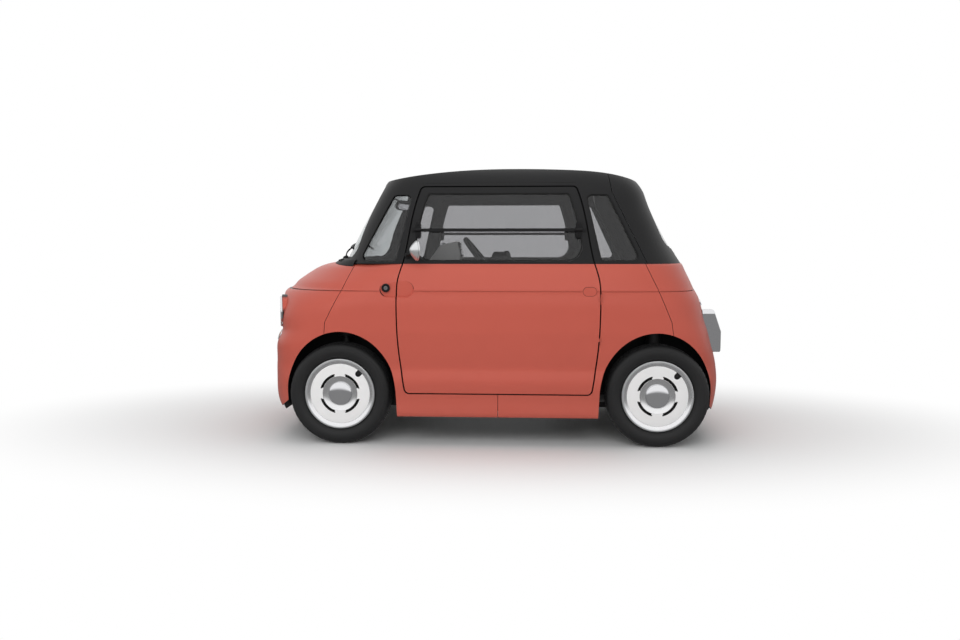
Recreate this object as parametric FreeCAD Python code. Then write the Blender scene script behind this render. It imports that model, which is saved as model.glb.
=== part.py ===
"""Two-seat electric microcar, closed body, built as separate panels on a floor tub.

Frame: +X forward, +Y to the car's left, +Z up, origin on the ground under the middle.
All sizes are millimetres.
"""
import FreeCAD, Part
import math
import os
from functools import lru_cache
from FreeCAD import Vector

# Overall size
LENGTH = 2535.0
WIDTH = 1396.0
HEIGHT = 1530.0
SILL_Z = 160.0
CREASE_Z = 844.0
BELT_Z = 990.0
CREASE_GROOVE_HEIGHT = 4.0
CREASE_GROOVE_DEPTH = 3.0

# Axles and wheels
FRONT_AXLE_X = 837.5
REAR_AXLE_X = -890.5
TYRE_OUTER_Y = 675.0
TYRE_WIDTH = 155.0
TYRE_RADIUS = 278.5
RIM_RADIUS = 194.0
TREAD_SHOULDER = 26.0
KINGPIN_LOW_Y = 545.0
KINGPIN_LOW_Z = 180.0
KINGPIN_TOP_Y = 440.0
KINGPIN_TOP_Z = 690.0
HUB_RADIUS = 52.0

# Walls, gaps and panes
BODY_WALL = 50.0
END_WALL = 14.0
FRAME_WALL = 26.0
PANEL_GAP = 3.0
DOOR_GAP = 7.0
GLASS = 5.0
GLASS_GAP = 0.3
SEAT_GAP = 0.3

# Plan shape: straight sides between these two stations
FRONT_BEND_X = 500.0
REAR_BEND_X = -560.0

# Body sections, each: share of the height from sill to crease, side inset, nose inset,
# tail inset, then the powers of the nose curve along X and Y and those of the tail curve
LOWER_SECTIONS = [
    (0.00, 22.0, 42.0, 34.0, 8.0, 3.5, 8.0, 3.5),
    (0.08, 13.0, 10.0, 13.0, 8.0, 3.5, 8.0, 3.5),
    (0.22, 6.0, 0.0, 0.0, 8.0, 3.5, 8.0, 3.5),
    (0.33, 8.0, 0.0, 1.0, 8.0, 3.5, 8.0, 3.5),
    (0.40, 16.0, 0.0, 6.0, 8.0, 3.5, 8.0, 3.5),
    (0.48, 9.0, 2.0, 19.0, 8.0, 3.5, 8.0, 3.5),
    (0.58, 3.0, 10.0, 40.0, 8.0, 3.5, 8.0, 3.5),
    (0.64, 0.0, 27.0, 49.0, 7.2, 3.5, 7.4, 3.5),
    (0.73, 0.0, 29.0, 66.0, 6.2, 3.5, 6.6, 3.5),
    (0.85, 1.0, 25.0, 84.0, 5.2, 3.3, 5.6, 3.5),
    (0.93, 4.0, 14.0, 98.0, 3.8, 2.9, 5.2, 3.4),
    (1.00, 8.0, 29.0, 123.0, 2.8, 2.5, 4.8, 3.4),
]
# Shoulder and bonnet dome, shares of the height from crease to belt
UPPER_SECTIONS = [
    (0.00, 8.0, 29.0, 123.0, 2.8, 2.5, 4.8, 3.4),
    (0.22, 12.0, 62.0, 137.0, 2.4, 2.3, 4.6, 3.3),
    (0.45, 18.0, 102.0, 152.0, 2.2, 2.2, 4.4, 3.3),
    (0.70, 26.0, 156.0, 168.0, 2.1, 2.1, 4.2, 3.2),
    (0.88, 34.0, 210.0, 179.0, 2.1, 2.1, 4.0, 3.2),
    (1.00, 44.0, 278.0, 188.0, 2.1, 2.1, 3.9, 3.1),
    (1.06, 56.0, 330.0, 200.0, 2.1, 2.1, 3.8, 3.1),
    (1.10, 70.0, 385.0, 214.0, 2.1, 2.1, 3.8, 3.1),
]
# Cabin sections: share of the height from belt to roof, half-width, front, rear, powers
CABIN_SECTIONS = [
    (-0.15, 667.0, 950.0, -1125.0, 3.4, 3.0),
    (0.00, 650.0, 892.0, -1078.0, 3.6, 3.1),
    (0.18, 634.0, 838.0, -1014.0, 3.8, 3.2),
    (0.40, 614.0, 772.0, -943.0, 4.2, 3.5),
    (0.60, 591.0, 707.0, -886.0, 4.6, 3.8),
    (0.76, 563.0, 655.0, -846.0, 5.0, 4.0),
    (0.86, 532.0, 620.0, -806.0, 5.0, 4.0),
    (0.95, 478.0, 570.0, -735.0, 4.6, 3.6),
    (1.04, 400.0, 490.0, -640.0, 4.2, 3.2),
]
# Roof crown along the middle, drop below the full height at each station
CROWN = [(1000.0, 210.0), (720.0, 104.0), (578.0, 62.0), (431.0, 35.0), (291.0, 18.0),
         (116.0, 5.0), (-145.0, 0.0), (-404.0, 6.0), (-620.0, 25.0), (-730.0, 50.0),
         (-900.0, 120.0), (-1180.0, 260.0)]
CROWN_SIDE_DROP = 0.00009
CROWN_HALF_WIDTH = 750.0
CROWN_ROWS = 3

# Doors, the same outline on both sides: half-width of the door at each height
DOOR_MIDDLE_X = -30.0
DOOR_BOTTOM_Z = 292.0
DOOR_TOP_Z = 1405.0
DOOR_EDGE = [(499.0, 0.0), (532.0, 0.21), (543.0, 0.46), (537.0, 0.545), (511.0, 0.63),
             (470.0, 0.817), (415.0, 1.0)]
DOOR_CORNER = 24.0
DOOR_FRAME_WIDTH = 34.0

# Hinge barrels in the gap at each door's hinged end
HINGE_REACH = 547.0
HINGE_Y = 699.0
HINGE_RADIUS = 3.2
HINGE_PIN_RADIUS = 1.6
HINGE_CLEARANCE = 0.2
HINGE_POCKET = 1.0
HINGE_LEAF = 6.0
LEAF_OUTER = 0.6
LEAF_INNER = 1.8
HINGE_LOW_Z = 560.0
HINGE_HIGH_Z = 830.0
HINGE_HEIGHT = 54.0

# Wheel arches
ARCH_SHIFT = 11.0
ARCH_HALF_LENGTH = 303.0
ARCH_HEIGHT = 346.0
ARCH_FLARE = 14.0

ARCH_FRONT_X = FRONT_AXLE_X - ARCH_SHIFT + ARCH_HALF_LENGTH
ARCH_REAR_X = REAR_AXLE_X + ARCH_SHIFT - ARCH_HALF_LENGTH
NOSE_FOOT_Z = 246.0
FOOT_INSET = 60.0
FOOT_RISE = 40.0
TIP_INSET = 30.0
TIP_DROP = 6.0

# Seams of the nose and tail panels in side view
NOSE_SEAM = [(718.0, 1100.0), (767.0, 981.0), (824.0, 842.0), (909.0, 675.0), (915.0, 560.0)]
TAIL_SEAM = [(-778.0, 1100.0), (-828.0, 967.0), (-887.0, 843.0), (-954.0, 684.0), (-971.0, 560.0)]
SILL_SPLIT_X = -31.0

# Seam of the rear hood in side view
HOOD_LINE = [(-606.0, 1600.0), (-622.0, 1482.0), (-639.0, 1375.0), (-830.0, 988.0), (-860.0, 920.0)]

# Door lock in its recess, and the blank cap at the hinged end of the door
LOCK_X = 572.0
LOCK_Z = 862.0
LOCK_RADIUS = 20.0
LOCK_DEPTH = 10.0
LOCK_FACE_Y = 692.0
LOCK_RECESS_X = 562.0
LOCK_RECESS_Z = 857.0
LOCK_RECESS_LENGTH = 96.0
LOCK_RECESS_RADIUS = 46.0
LOCK_RECESS_SLOPE = 5.0
LOCK_RECESS_MOUTH_Y = 700.0
LOCK_RECESS_FLOOR_Y = 682.0
BLANK_CAP_X = -519.0
CAP_LENGTH = 71.0
CAP_HEIGHT = 46.0
CAP_DEPTH = 20.0
CAP_FACE_Y = 692.5

# Lamps
HEADLAMP_Y = 452.0
HEADLAMP_Z = 716.0
HEADLAMP_RADIUS = 86.0
HEADLAMP_FRONT_X = 1208.0
HEADLAMP_DEPTH = 100.0
HEADLAMP_YAW = 17.0
POD_WALL = 10.0
LENS_DOME = 9.0
HOLDER_RADIUS = 14.0
HOLDER_RECESS = 30.0
TAIL_LAMP_Y = 440.0
TAIL_LAMP_Z = 617.0
TAIL_LAMP_HEIGHT = 236.0
TAIL_LAMP_WIDTH = 84.0
TAIL_LAMP_CORNER = 22.0
TAIL_LAMP_FACE_X = -1256.0
TAIL_LAMP_RAKE = 40.0
TAIL_LAMP_DEPTH = 100.0
LAMP_RING = 12.0

# Crash beam with its towing socket, and screw bosses of the rear plate
CRASH_BEAM_X = 1150.0
CRASH_BEAM_DEPTH = 30.0
CRASH_BEAM_LOW_Z = 300.0
CRASH_BEAM_HEIGHT = 60.0
CRASH_BEAM_HALF = 350.0
CRASH_RAIL_WIDTH = 40.0
TOW_SOCKET_Y = -300.0
TOW_SOCKET_Z = CRASH_BEAM_LOW_Z + CRASH_BEAM_HEIGHT / 2
TOW_SOCKET_FRONT_X = 1256.0
TOW_SOCKET_RADIUS = 10.0
TOW_SOCKET_ROOM = 2.0
SOCKET_WALL = 6.0
PLATE_HOLE_SPACING = 240.0
PLATE_HOLE_Z = 470.0
PLATE_BOSS_X = -1256.0
PLATE_BOSS_LENGTH = 40.0
PLATE_BOSS_RADIUS = 10.0
PLATE_HOLE_RADIUS = 2.5

# Floor tub
FLOOR_Z = 205.0
TUB_WALL = 22.0
TUB_HALF_WIDTH = 610.0
ARM_SPREAD = 125.0
BEAM_HALF = 25.0
FOOTWELL_FRONT_X = FRONT_AXLE_X - ARM_SPREAD - BEAM_HALF - SEAT_GAP
FOOTWELL_HALF_WIDTH = 335.0
TUB_SILL_Z = 285.0
SILL_FLANGE_LOW_Z = 192.0
SILL_FLANGE_HEIGHT = 20.0
SILL_FLANGE_INSET = 60.0
FIREWALL_Z = 850.0
FOOTWELL_Z = 640.0
DECK_Z = 660.0
DECK_REAR_X = -1120.0
DECK_HALF_WIDTH = 540.0

# Wheel arch liners
LINER_WALL = 3.0
LINER_INNER_Y = 380.0
LINER_LIP = 30.0
LINER_OUTER_Y = WIDTH / 2 - BODY_WALL - LINER_LIP
LINER_HEIGHT = 352.0
LINER_FOOT_Z = SILL_Z + 4.0
LINER_WINDOW_HALF = 165.0
LINER_WINDOW_Z = 323.0
FRONT_LINER_HALF = 342.0
REAR_LINER_HALF = 318.0
LINER_FOOT = LINER_WALL + ARCH_FLARE * (1 - (FLOOR_Z - TUB_WALL) / TYRE_RADIUS) + SEAT_GAP
TUB_FRONT_X = FRONT_AXLE_X - FRONT_LINER_HALF - LINER_FOOT
TUB_REAR_X = REAR_AXLE_X + REAR_LINER_HALF + LINER_FOOT

# Wheel cover and rim, radii and distances out from the wheel's middle plane
LIP_WIDTH = 12.0
RIM_WALL = 8.0
BARREL_EDGE_Y = 46.0
WELL_RADIUS = 172.0
WELL_HALF = 35.0
BACK_LIP_Y = 60.0
LIP_RADIUS = 181.0
LIP_Y = 63.0
COVER_RADIUS = 165.0
COVER_Y = 54.0
COVER_BACK_Y = 39.0
COVER_STEP = 3.0
HUB_RING_RADIUS = 97.0
HUB_RING_Y = 45.0
CAP_RADIUS = 64.0
CAP_Y = 66.0
CAP_RIM_Y = 52.0
SLOT_WIDTH = 12.0
SLOT_DEPTH = 11.0
SLOT_SPOKE = 35.0
VALVE_RADIUS = 150.0
VALVE_ANGLE = 43.0
VALVE_WIDTH = 26.0
VALVE_LENGTH = 26.0
VALVE_DEPTH = 7.0

# Tyre section
BEAD_LEDGE = 1.5
SIDEWALL_BULGE = 34.0
SHOULDER_DRAW = 3.0
TREAD_EDGE = 6.0

# Running gear
RIM_SEAT = RIM_RADIUS - 8
WHEEL_Y = TYRE_OUTER_Y - TYRE_WIDTH / 2
STUB_RADIUS = 24.0
STUB_REACH = 23.0
BRAKE_RADIUS = 110.0
BRAKE_OFFSET = 2.0
BRAKE_THICKNESS = 10.0
BEAD_HALF_WIDTH = 54.0
KNUCKLE_RADIUS = 24.0
KNUCKLE_LOW_Z = 205.0
KNUCKLE_HIGH_Z = 400.0
STEER_ARM_LENGTH = 130.0
STEER_ARM_WIDTH = 24.0
STEER_ARM_HEIGHT = 17.0
STEER_ARM_DROP = 55.0
BALL_RADIUS = 18.0
BALL_DROP = 12.0
ARM_RADIUS = 13.0
SUBFRAME_Z = 165.0
SUBFRAME_HEIGHT = 40.0
TOWER_DROP = 4.0
TOWER_PLATE = 14.0
TOWER_HALF = 55.0
SPRING_LOW_Z = 575.0
STRUT_RADIUS = 20.0
SPRING_RADIUS = 48.0
DRIVE_SHAFT_RADIUS = 12.0
DRIVE_SHAFT_END_Y = 490.0
TOWER_Y = 290.0
REAR_ARM_Y = 470.0
TRAILING_ARM_RADIUS = 26.0
TRAILING_PIVOT_Z = 235.0
ARM_ROOM = 8.0
DAMPER_RADIUS = 42.0
DAMPER_RISE = 130.0
REAR_BEAM_X = -760.0
REAR_BEAM_Z = 245.0
REAR_BEAM_RADIUS = 30.0
MOTOR_REAR_X = 700.0
MOTOR_LENGTH = 300.0
MOTOR_HALF_WIDTH = 190.0
MOTOR_TOP_Z = 520.0
BATTERY_LENGTH = 760.0
BATTERY_WIDTH = 560.0
BATTERY_LOW_Z = 140.0

# Windows
GLASS_INSET = 8.0
PANE_CORNER = 60.0
SCREEN_LOW_Z = 1014.0
SCREEN_HIGH_Z = 1432.0
SCREEN_LOW_HALF = 530.0
SCREEN_HIGH_HALF = 440.0
REAR_WINDOW_LOW_Z = 1075.0
REAR_WINDOW_HIGH_Z = 1380.0
REAR_WINDOW_LOW_HALF = 470.0
REAR_WINDOW_HIGH_HALF = 400.0
FRONT_QUARTER = [(738.0, 1003.0), (540.0, 1364.0), (436.0, 1364.0), (523.0, 1003.0)]
REAR_QUARTER = [(-578.0, 1003.0), (-495.0, 1364.0), (-620.0, 1364.0), (-798.0, 1003.0)]
ROOF_FRONT_X = 545.0
ROOF_REAR_X = -600.0
ROOF_HALF = 440.0
ROOF_CORNER = 60.0
DOOR_SILL_STRIP = 14.0
FLAP_CORNER = 84.0
WINDOW_CORNER = 16.0

# Rail of the lower window flap, and the mirror
FLAP_RAIL_Z = 1172.0
RAIL_HALF = 470.0
RAIL_Y = 616.0
RAIL_DEPTH = 12.0
RAIL_HEIGHT = 17.0
MIRROR_X = 384.0
MIRROR_Y = 715.0
MIRROR_Z = 1062.0
MIRROR_RADIUS = 55.0
MIRROR_DEPTH = 50.0
MIRROR_RIM = 8.0
MIRROR_WAIST_SHARE = 0.5
MIRROR_TIP_RADIUS = 14.0
MIRROR_LIP = 4.0
MIRROR_FACE_DEPTH = 2.0
MIRROR_ARM = 11.0
MIRROR_FOOT_X = 458.0
MIRROR_FOOT_Y = 636.0

# Inside
SEAT_Y = 295.0
SEAT_WIDTH = 450.0
SEAT_OUTLINE = [(150, 330), (150, 430), (120, 455), (-210, 405), (-265, 430), (-420, 960), (-455, 985),
                (-500, 975), (-515, 940), (-350, 360), (-300, 320)]
SEAT_CORNER = 12.0
SEAT_SOFT = 10.0
SEAT_BASE_FRONT_X = 100.0
SEAT_BASE_REAR_X = -290.0
SEAT_BASE_INSET = 50.0
SEAT_BASE_Z = 345.0
TRIM_ROOM = 6.0
DASH_TOP = [(330.0, 935.0), (355.0, 978.0), (760.0, 985.0), (790.0, 950.0), (500.0, 905.0)]
DASH_HALF_WIDTH = 585.0
DASH_LEDGE_Z = 905.0
DASH_KNEE_X = 400.0
DASH_KNEE_Z = 740.0
DASH_LIP = 15.0
DASH_LIP_Z = 880.0
POD_OUTLINE = [(191, 1018), (208, 1112), (306, 1090), (400, 960), (230, 950)]
POD_CORNER = 12.0
POD_HALF_WIDTH = 105.0
COLUMN_START = 60.0
COLUMN_END = 430.0
COLUMN_RADIUS = 38.0
STEERING_RADIUS = 172.0
STEERING_GRIP = 14.0
SPOKE_RADIUS = 10.0
HUB_PAD = 8.0
STEERING_TILT = 38.0
WHEEL_CENTRE = Vector(62.0, 295.0, 988.0)
COLUMN_AXIS = Vector(math.cos(math.radians(STEERING_TILT)), 0, -math.sin(math.radians(STEERING_TILT)))


def box(x0, x1, y0, y1, z0, z1):
    """Box between two corners."""
    return Part.makeBox(x1 - x0, y1 - y0, z1 - z0, Vector(x0, y0, z0))


def cylinder(start, end, radius):
    """Round bar from start to end."""
    axis = end.sub(start)
    return Part.makeCylinder(radius, axis.Length, start, axis)


def mirrored(shape):
    """The same shape on the other side of the car."""
    return shape.mirror(Vector(0, 0, 0), Vector(0, 1, 0))


def both_sides(shape):
    """A left-hand shape and its mirror image as two solids."""
    return Part.makeCompound([shape, mirrored(shape)])


def prism_xz(points, y0, y1):
    """Side-view polygon, extruded across the car from y0 to y1."""
    corners = [Vector(x, y0, z) for x, z in points]
    face = Part.Face(Part.makePolygon(corners + corners[:1]))
    return face.extrude(Vector(0, y1 - y0, 0))


def prism_yz(points, x0, x1):
    """Front-view polygon, extruded along the car from x0 to x1."""
    corners = [Vector(x0, y, z) for y, z in points]
    face = Part.Face(Part.makePolygon(corners + corners[:1]))
    return face.extrude(Vector(x1 - x0, 0, 0))


def rounded_upright(solid, radius, direction):
    """Round every straight edge of the solid that runs along the direction."""
    edges = []
    for edge in solid.Edges:
        if not isinstance(edge.Curve, Part.Line):
            continue
        run = edge.Vertexes[-1].Point.sub(edge.Vertexes[0].Point)
        if run.Length > 1.0 and run.normalize().cross(direction).Length < 0.001:
            edges.append(edge)
    return solid.makeFillet(radius, edges)


def spline(points):
    """Smooth edge through the points."""
    curve = Part.BSplineCurve()
    curve.interpolate(points)
    return curve.toShape()


# Plan sections and lofts

END_ANGLES = [0, 8, 18, 30, 43, 56, 68, 78, 85, 89]


def end_quarter(bend_x, tip_x, half_width, x_power, y_power):
    """A quarter of the plan from the middle of an end to where the side turns straight."""
    points = []
    for degrees in END_ANGLES:
        angle = math.radians(degrees)
        along = (tip_x - bend_x) * math.cos(angle) ** (2 / x_power)
        across = half_width * math.sin(angle) ** (2 / y_power)
        points.append((bend_x + along, across))
    return points


def plan_points(half_width, front_x, rear_x, front_powers, rear_powers):
    """Closed plan outline, counter-clockwise from the middle of the nose."""
    front_bend = FRONT_BEND_X * front_x / (LENGTH / 2)
    rear_bend = REAR_BEND_X * rear_x / (-LENGTH / 2)
    front = end_quarter(front_bend, front_x, half_width, *front_powers)
    rear = end_quarter(rear_bend, rear_x, half_width, *rear_powers)
    middle = [(0.0, half_width)]
    left = front + middle + rear[::-1]
    right = [(x, -y) for x, y in left[-2:0:-1]]
    return left + right


def plan_parameters():
    """Shares of the outline's length at each point, the same for every section."""
    points = plan_points(WIDTH / 2, LENGTH / 2, -LENGTH / 2, (4.0, 3.0), (4.0, 3.0))
    shares = [0.0]
    for (x0, y0), (x1, y1) in zip(points, points[1:] + points[:1]):
        shares.append(shares[-1] + math.hypot(x1 - x0, y1 - y0))
    return [share / shares[-1] for share in shares]


PARAMETERS = plan_parameters()


def plan_wire(z, half_width, front_x, rear_x, front_powers, rear_powers):
    """One smooth closed section at height z."""
    outline = plan_points(half_width, front_x, rear_x, front_powers, rear_powers)
    points = [Vector(x, y, z) for x, y in outline]
    curve = Part.BSplineCurve()
    curve.interpolate(Points=points, PeriodicFlag=True, Parameters=PARAMETERS)
    return Part.Wire(curve.toShape())


def body_sections(table, low_z, high_z, inset, drop):
    """Wires of one band of the body, drawn in by inset and lowered by drop."""
    wires = []
    for share, side, nose, tail, nose_x, nose_y, tail_x, tail_y in table:
        z = low_z + share * (high_z - low_z) - drop
        wires.append(plan_wire(z, WIDTH / 2 - side - inset, LENGTH / 2 - nose - inset,
                               tail + inset - LENGTH / 2, (nose_x, nose_y), (tail_x, tail_y)))
    return wires


@lru_cache(maxsize=None)
def body_solid(inset):
    """Body below the belt with its bonnet dome; inset gives the inner face of its wall."""
    drop = min(inset, BODY_WALL)
    lower = Part.makeLoft(body_sections(LOWER_SECTIONS, SILL_Z, CREASE_Z, inset, drop), True, False)
    upper = Part.makeLoft(body_sections(UPPER_SECTIONS, CREASE_Z, BELT_Z, inset, drop), True, False)
    return lower.fuse(upper)


@lru_cache(maxsize=None)
def under_crown(drop):
    """Everything below the roof's crowned surface, lowered by drop."""
    rows = []
    for x, fall in CROWN:
        row = []
        for step in range(-CROWN_ROWS, CROWN_ROWS + 1):
            y = CROWN_HALF_WIDTH * step / CROWN_ROWS
            row.append(Vector(x, y, HEIGHT - drop - fall - CROWN_SIDE_DROP * y * y))
        rows.append(row)
    surface = Part.BSplineSurface()
    surface.interpolate(rows)
    return surface.toShape().extrude(Vector(0, 0, -HEIGHT))


@lru_cache(maxsize=None)
def cabin_solid(inset):
    """Glasshouse above the belt; inset gives the inner face of its wall."""
    wires = []
    for share, half_width, front_x, rear_x, x_power, y_power in CABIN_SECTIONS:
        z = BELT_Z + share * (HEIGHT - BELT_Z)
        powers = (x_power, y_power)
        wires.append(plan_wire(z, half_width - inset, front_x - inset, rear_x + inset, powers, powers))
    return Part.makeLoft(wires, True, False).common(under_crown(inset))


# Outlines in side view

def door_prism(grow, corner=DOOR_CORNER):
    """The door's outline, grown all round with its corners, through the left side of the car."""
    low = DOOR_BOTTOM_Z - grow
    high = DOOR_TOP_Z + grow
    edge = [(half + grow, low + share * (high - low)) for half, share in DOOR_EDGE]
    front = [Vector(DOOR_MIDDLE_X + half, 0, z) for half, z in edge]
    rear = [Vector(DOOR_MIDDLE_X - half, 0, z) for half, z in edge]
    wire = Part.Wire([Part.makeLine(rear[0], front[0]), spline(front),
                      Part.makeLine(front[-1], rear[-1]), spline(rear[::-1])])
    solid = Part.Face(wire).extrude(Vector(0, WIDTH, 0))
    return rounded_upright(solid, corner + grow, Vector(0, 1, 0))


def arch_prism(axle_x, toward_middle, half, top, y0, y1):
    """Wheel arch opening: the upper half of an ellipse on two legs, from y0 to y1."""
    centre = Vector(axle_x, y0, TYRE_RADIUS)
    rim = []
    for degrees in range(0, 181, 15):
        angle = math.radians(degrees)
        rim.append(centre + Vector(toward_middle * half * math.cos(angle), 0, top * math.sin(angle)))
    inner_foot = Vector(rim[0].x + toward_middle * ARCH_FLARE, y0, 0)
    outer_foot = Vector(rim[-1].x, y0, 0)
    wire = Part.Wire([spline(rim), Part.makeLine(rim[-1], outer_foot),
                      Part.makeLine(outer_foot, inner_foot), Part.makeLine(inner_foot, rim[0])])
    return Part.Face(wire).extrude(Vector(0, y1 - y0, 0))


def body_arches():
    """The four arch openings in the outer panels."""
    front = arch_prism(FRONT_AXLE_X - ARCH_SHIFT, -1, ARCH_HALF_LENGTH, ARCH_HEIGHT,
                       LINER_INNER_Y, WIDTH)
    rear = arch_prism(REAR_AXLE_X + ARCH_SHIFT, 1, ARCH_HALF_LENGTH, ARCH_HEIGHT,
                      LINER_INNER_Y, WIDTH)
    return [front, rear, mirrored(front), mirrored(rear)]


def wide(y_half, points):
    """Side-view polygon across the whole car."""
    return prism_xz(points, -y_half, y_half)


def foot_cut(arch_x, end):
    """What the lower edge of the nose or tail clears, from the arch out to the tip; end is 1 or -1."""
    inner_x = arch_x - end * FOOT_INSET
    outer_x = end * (LENGTH / 2 - TIP_INSET)
    return wide(WIDTH, [(inner_x, NOSE_FOOT_Z + FOOT_RISE), (outer_x, SILL_Z - TIP_DROP),
                        (outer_x, 0), (inner_x, 0)])


def slot_wire(front_x, rear_x, z, radius, y):
    """Upright slot with round ends between two stations, at a distance y from the middle."""
    top, low = Vector(0, 0, radius), Vector(0, 0, -radius)
    front, rear = Vector(front_x, y, z), Vector(rear_x, y, z)
    return Part.Wire([
        Part.makeLine(rear + top, front + top),
        Part.Arc(front + top, front + Vector(radius, 0, 0), front + low).toShape(),
        Part.makeLine(front + low, rear + low),
        Part.Arc(rear + low, rear - Vector(radius, 0, 0), rear + top).toShape()])


def across_middle(shape):
    """A left-hand shape turned half round the middle of the doors, onto the right side."""
    turned = shape.copy()
    turned.rotate(Vector(DOOR_MIDDLE_X, 0, 0), Vector(0, 0, 1), 180)
    return turned


# Body panels

@lru_cache(maxsize=None)
def shell(wall):
    """Body skin of one wall thickness with its crease line, open below and under the cabin."""
    half = CREASE_GROOVE_HEIGHT / 2
    groove = box(-LENGTH, LENGTH, -WIDTH, WIDTH, CREASE_Z - half, CREASE_Z + half)
    groove = groove.cut(body_solid(CREASE_GROOVE_DEPTH))
    return body_solid(0.0).cut(body_solid(wall)).cut(cabin_solid(FRAME_WALL)).cut(groove)


def lock_recess():
    """Pressed recess round the left door's lock, wider at the surface than at its floor."""
    wires = []
    for radius, y in ((LOCK_RECESS_RADIUS + LOCK_RECESS_SLOPE, LOCK_RECESS_MOUTH_Y),
                      (LOCK_RECESS_RADIUS - LOCK_RECESS_SLOPE, LOCK_RECESS_FLOOR_Y)):
        wires.append(slot_wire(LOCK_RECESS_X, LOCK_RECESS_X - LOCK_RECESS_LENGTH, LOCK_RECESS_Z, radius, y))
    return Part.makeLoft(wires, True, True)


def lock_barrel():
    """Round lock body standing on the floor of the left recess."""
    return cylinder(Vector(LOCK_X, LOCK_RECESS_FLOOR_Y - LOCK_DEPTH, LOCK_Z),
                    Vector(LOCK_X, LOCK_FACE_Y, LOCK_Z), LOCK_RADIUS)


def blank_cap():
    """Oval cap over the unused lock hole near the left door's hinges."""
    half = CAP_LENGTH / 2 - CAP_HEIGHT / 2
    wire = slot_wire(BLANK_CAP_X + half, BLANK_CAP_X - half, CREASE_Z, CAP_HEIGHT / 2, CAP_FACE_Y - CAP_DEPTH)
    return Part.Face(wire).extrude(Vector(0, CAP_DEPTH, 0))


def below_belt():
    """Space below the belt seam."""
    return box(-LENGTH, LENGTH, -WIDTH, WIDTH, 0, BELT_Z)


def nose_panel(skin, arches):
    """Bumper and bonnet in one piece, with the two lamp pods."""
    region = wide(WIDTH, NOSE_SEAM + [(NOSE_SEAM[-1][0], 0), (LENGTH, 0), (LENGTH, NOSE_SEAM[0][1])])
    panel = skin.common(region)
    for side in (1, -1):
        front, axis = headlamp_axis(side)
        start = front - axis * HEADLAMP_DEPTH
        panel = panel.fuse(cylinder(start, front, HEADLAMP_RADIUS + POD_WALL))
        panel = panel.cut(cylinder(start - axis * HEADLAMP_DEPTH, front + axis * HEADLAMP_DEPTH,
                                   HEADLAMP_RADIUS + GLASS_GAP))
    socket_hole = cylinder(Vector(CRASH_BEAM_X, TOW_SOCKET_Y, TOW_SOCKET_Z),
                           Vector(LENGTH, TOW_SOCKET_Y, TOW_SOCKET_Z),
                           TOW_SOCKET_RADIUS + SOCKET_WALL + TOW_SOCKET_ROOM)
    cabin_foot = cabin_solid(-PANEL_GAP).common(above_belt())
    return panel.cut(arches + [foot_cut(ARCH_FRONT_X, 1), cabin_foot, socket_hole])


def tail_panel(skin, arches):
    """Rear panel round the tail, notched for the lamps, with the bosses of the rear plate."""
    region = wide(WIDTH, TAIL_SEAM + [(TAIL_SEAM[-1][0], 0), (-LENGTH, 0), (-LENGTH, TAIL_SEAM[0][1])])
    panel = skin.common(region).common(below_belt())
    lamp = tail_lamp_block(GLASS_GAP)
    for side in (1, -1):
        boss = Vector(PLATE_BOSS_X, side * PLATE_HOLE_SPACING / 2, PLATE_HOLE_Z)
        panel = panel.fuse(cylinder(boss, boss + Vector(PLATE_BOSS_LENGTH, 0, 0), PLATE_BOSS_RADIUS))
        panel = panel.cut(cylinder(boss - Vector(PLATE_BOSS_LENGTH, 0, 0),
                                   boss + Vector(2 * PLATE_BOSS_LENGTH, 0, 0), PLATE_HOLE_RADIUS))
    return panel.cut(arches + [foot_cut(ARCH_REAR_X, -1), lamp, mirrored(lamp)])


def side_panel(skin, arches):
    """Left side below the belt: front and rear halves, each with its end of the sill."""
    gap = PANEL_GAP
    front = [(x - gap, z) for x, z in NOSE_SEAM] + [(NOSE_SEAM[-1][0] - gap, 0),
                                                   (SILL_SPLIT_X + gap / 2, 0),
                                                   (SILL_SPLIT_X + gap / 2, NOSE_SEAM[0][1])]
    rear = [(x + gap, z) for x, z in TAIL_SEAM] + [(TAIL_SEAM[-1][0] + gap, 0),
                                                  (SILL_SPLIT_X - gap / 2, 0),
                                                  (SILL_SPLIT_X - gap / 2, TAIL_SEAM[0][1])]
    halves = []
    for outline in (front, rear):
        half = skin.common(prism_xz(outline, 0, WIDTH)).common(below_belt())
        halves.append(half.cut(arches + [door_prism(DOOR_GAP)]))
    return Part.makeCompound(halves)


# Cabin above the belt

def above_belt():
    """Space above the belt seam."""
    return box(-LENGTH, LENGTH, -WIDTH, WIDTH, BELT_Z + GLASS_GAP, 2 * HEIGHT)


def windscreen_prism(grow):
    """Windscreen opening seen from the front."""
    low, high = SCREEN_LOW_Z - grow, SCREEN_HIGH_Z + grow
    low_half, high_half = SCREEN_LOW_HALF + grow, SCREEN_HIGH_HALF + grow
    solid = prism_yz([(-low_half, low), (low_half, low), (high_half, high), (-high_half, high)],
                     FRONT_BEND_X / 2, LENGTH)
    return rounded_upright(solid, PANE_CORNER + grow, Vector(1, 0, 0))


def rear_window_prism(grow):
    """Rear window opening seen from behind."""
    low, high = REAR_WINDOW_LOW_Z - grow, REAR_WINDOW_HIGH_Z + grow
    low_half, high_half = REAR_WINDOW_LOW_HALF + grow, REAR_WINDOW_HIGH_HALF + grow
    solid = prism_yz([(-low_half, low), (low_half, low), (high_half, high), (-high_half, high)],
                     -LENGTH, REAR_BEND_X)
    return rounded_upright(solid, PANE_CORNER + grow, Vector(1, 0, 0))


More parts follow.
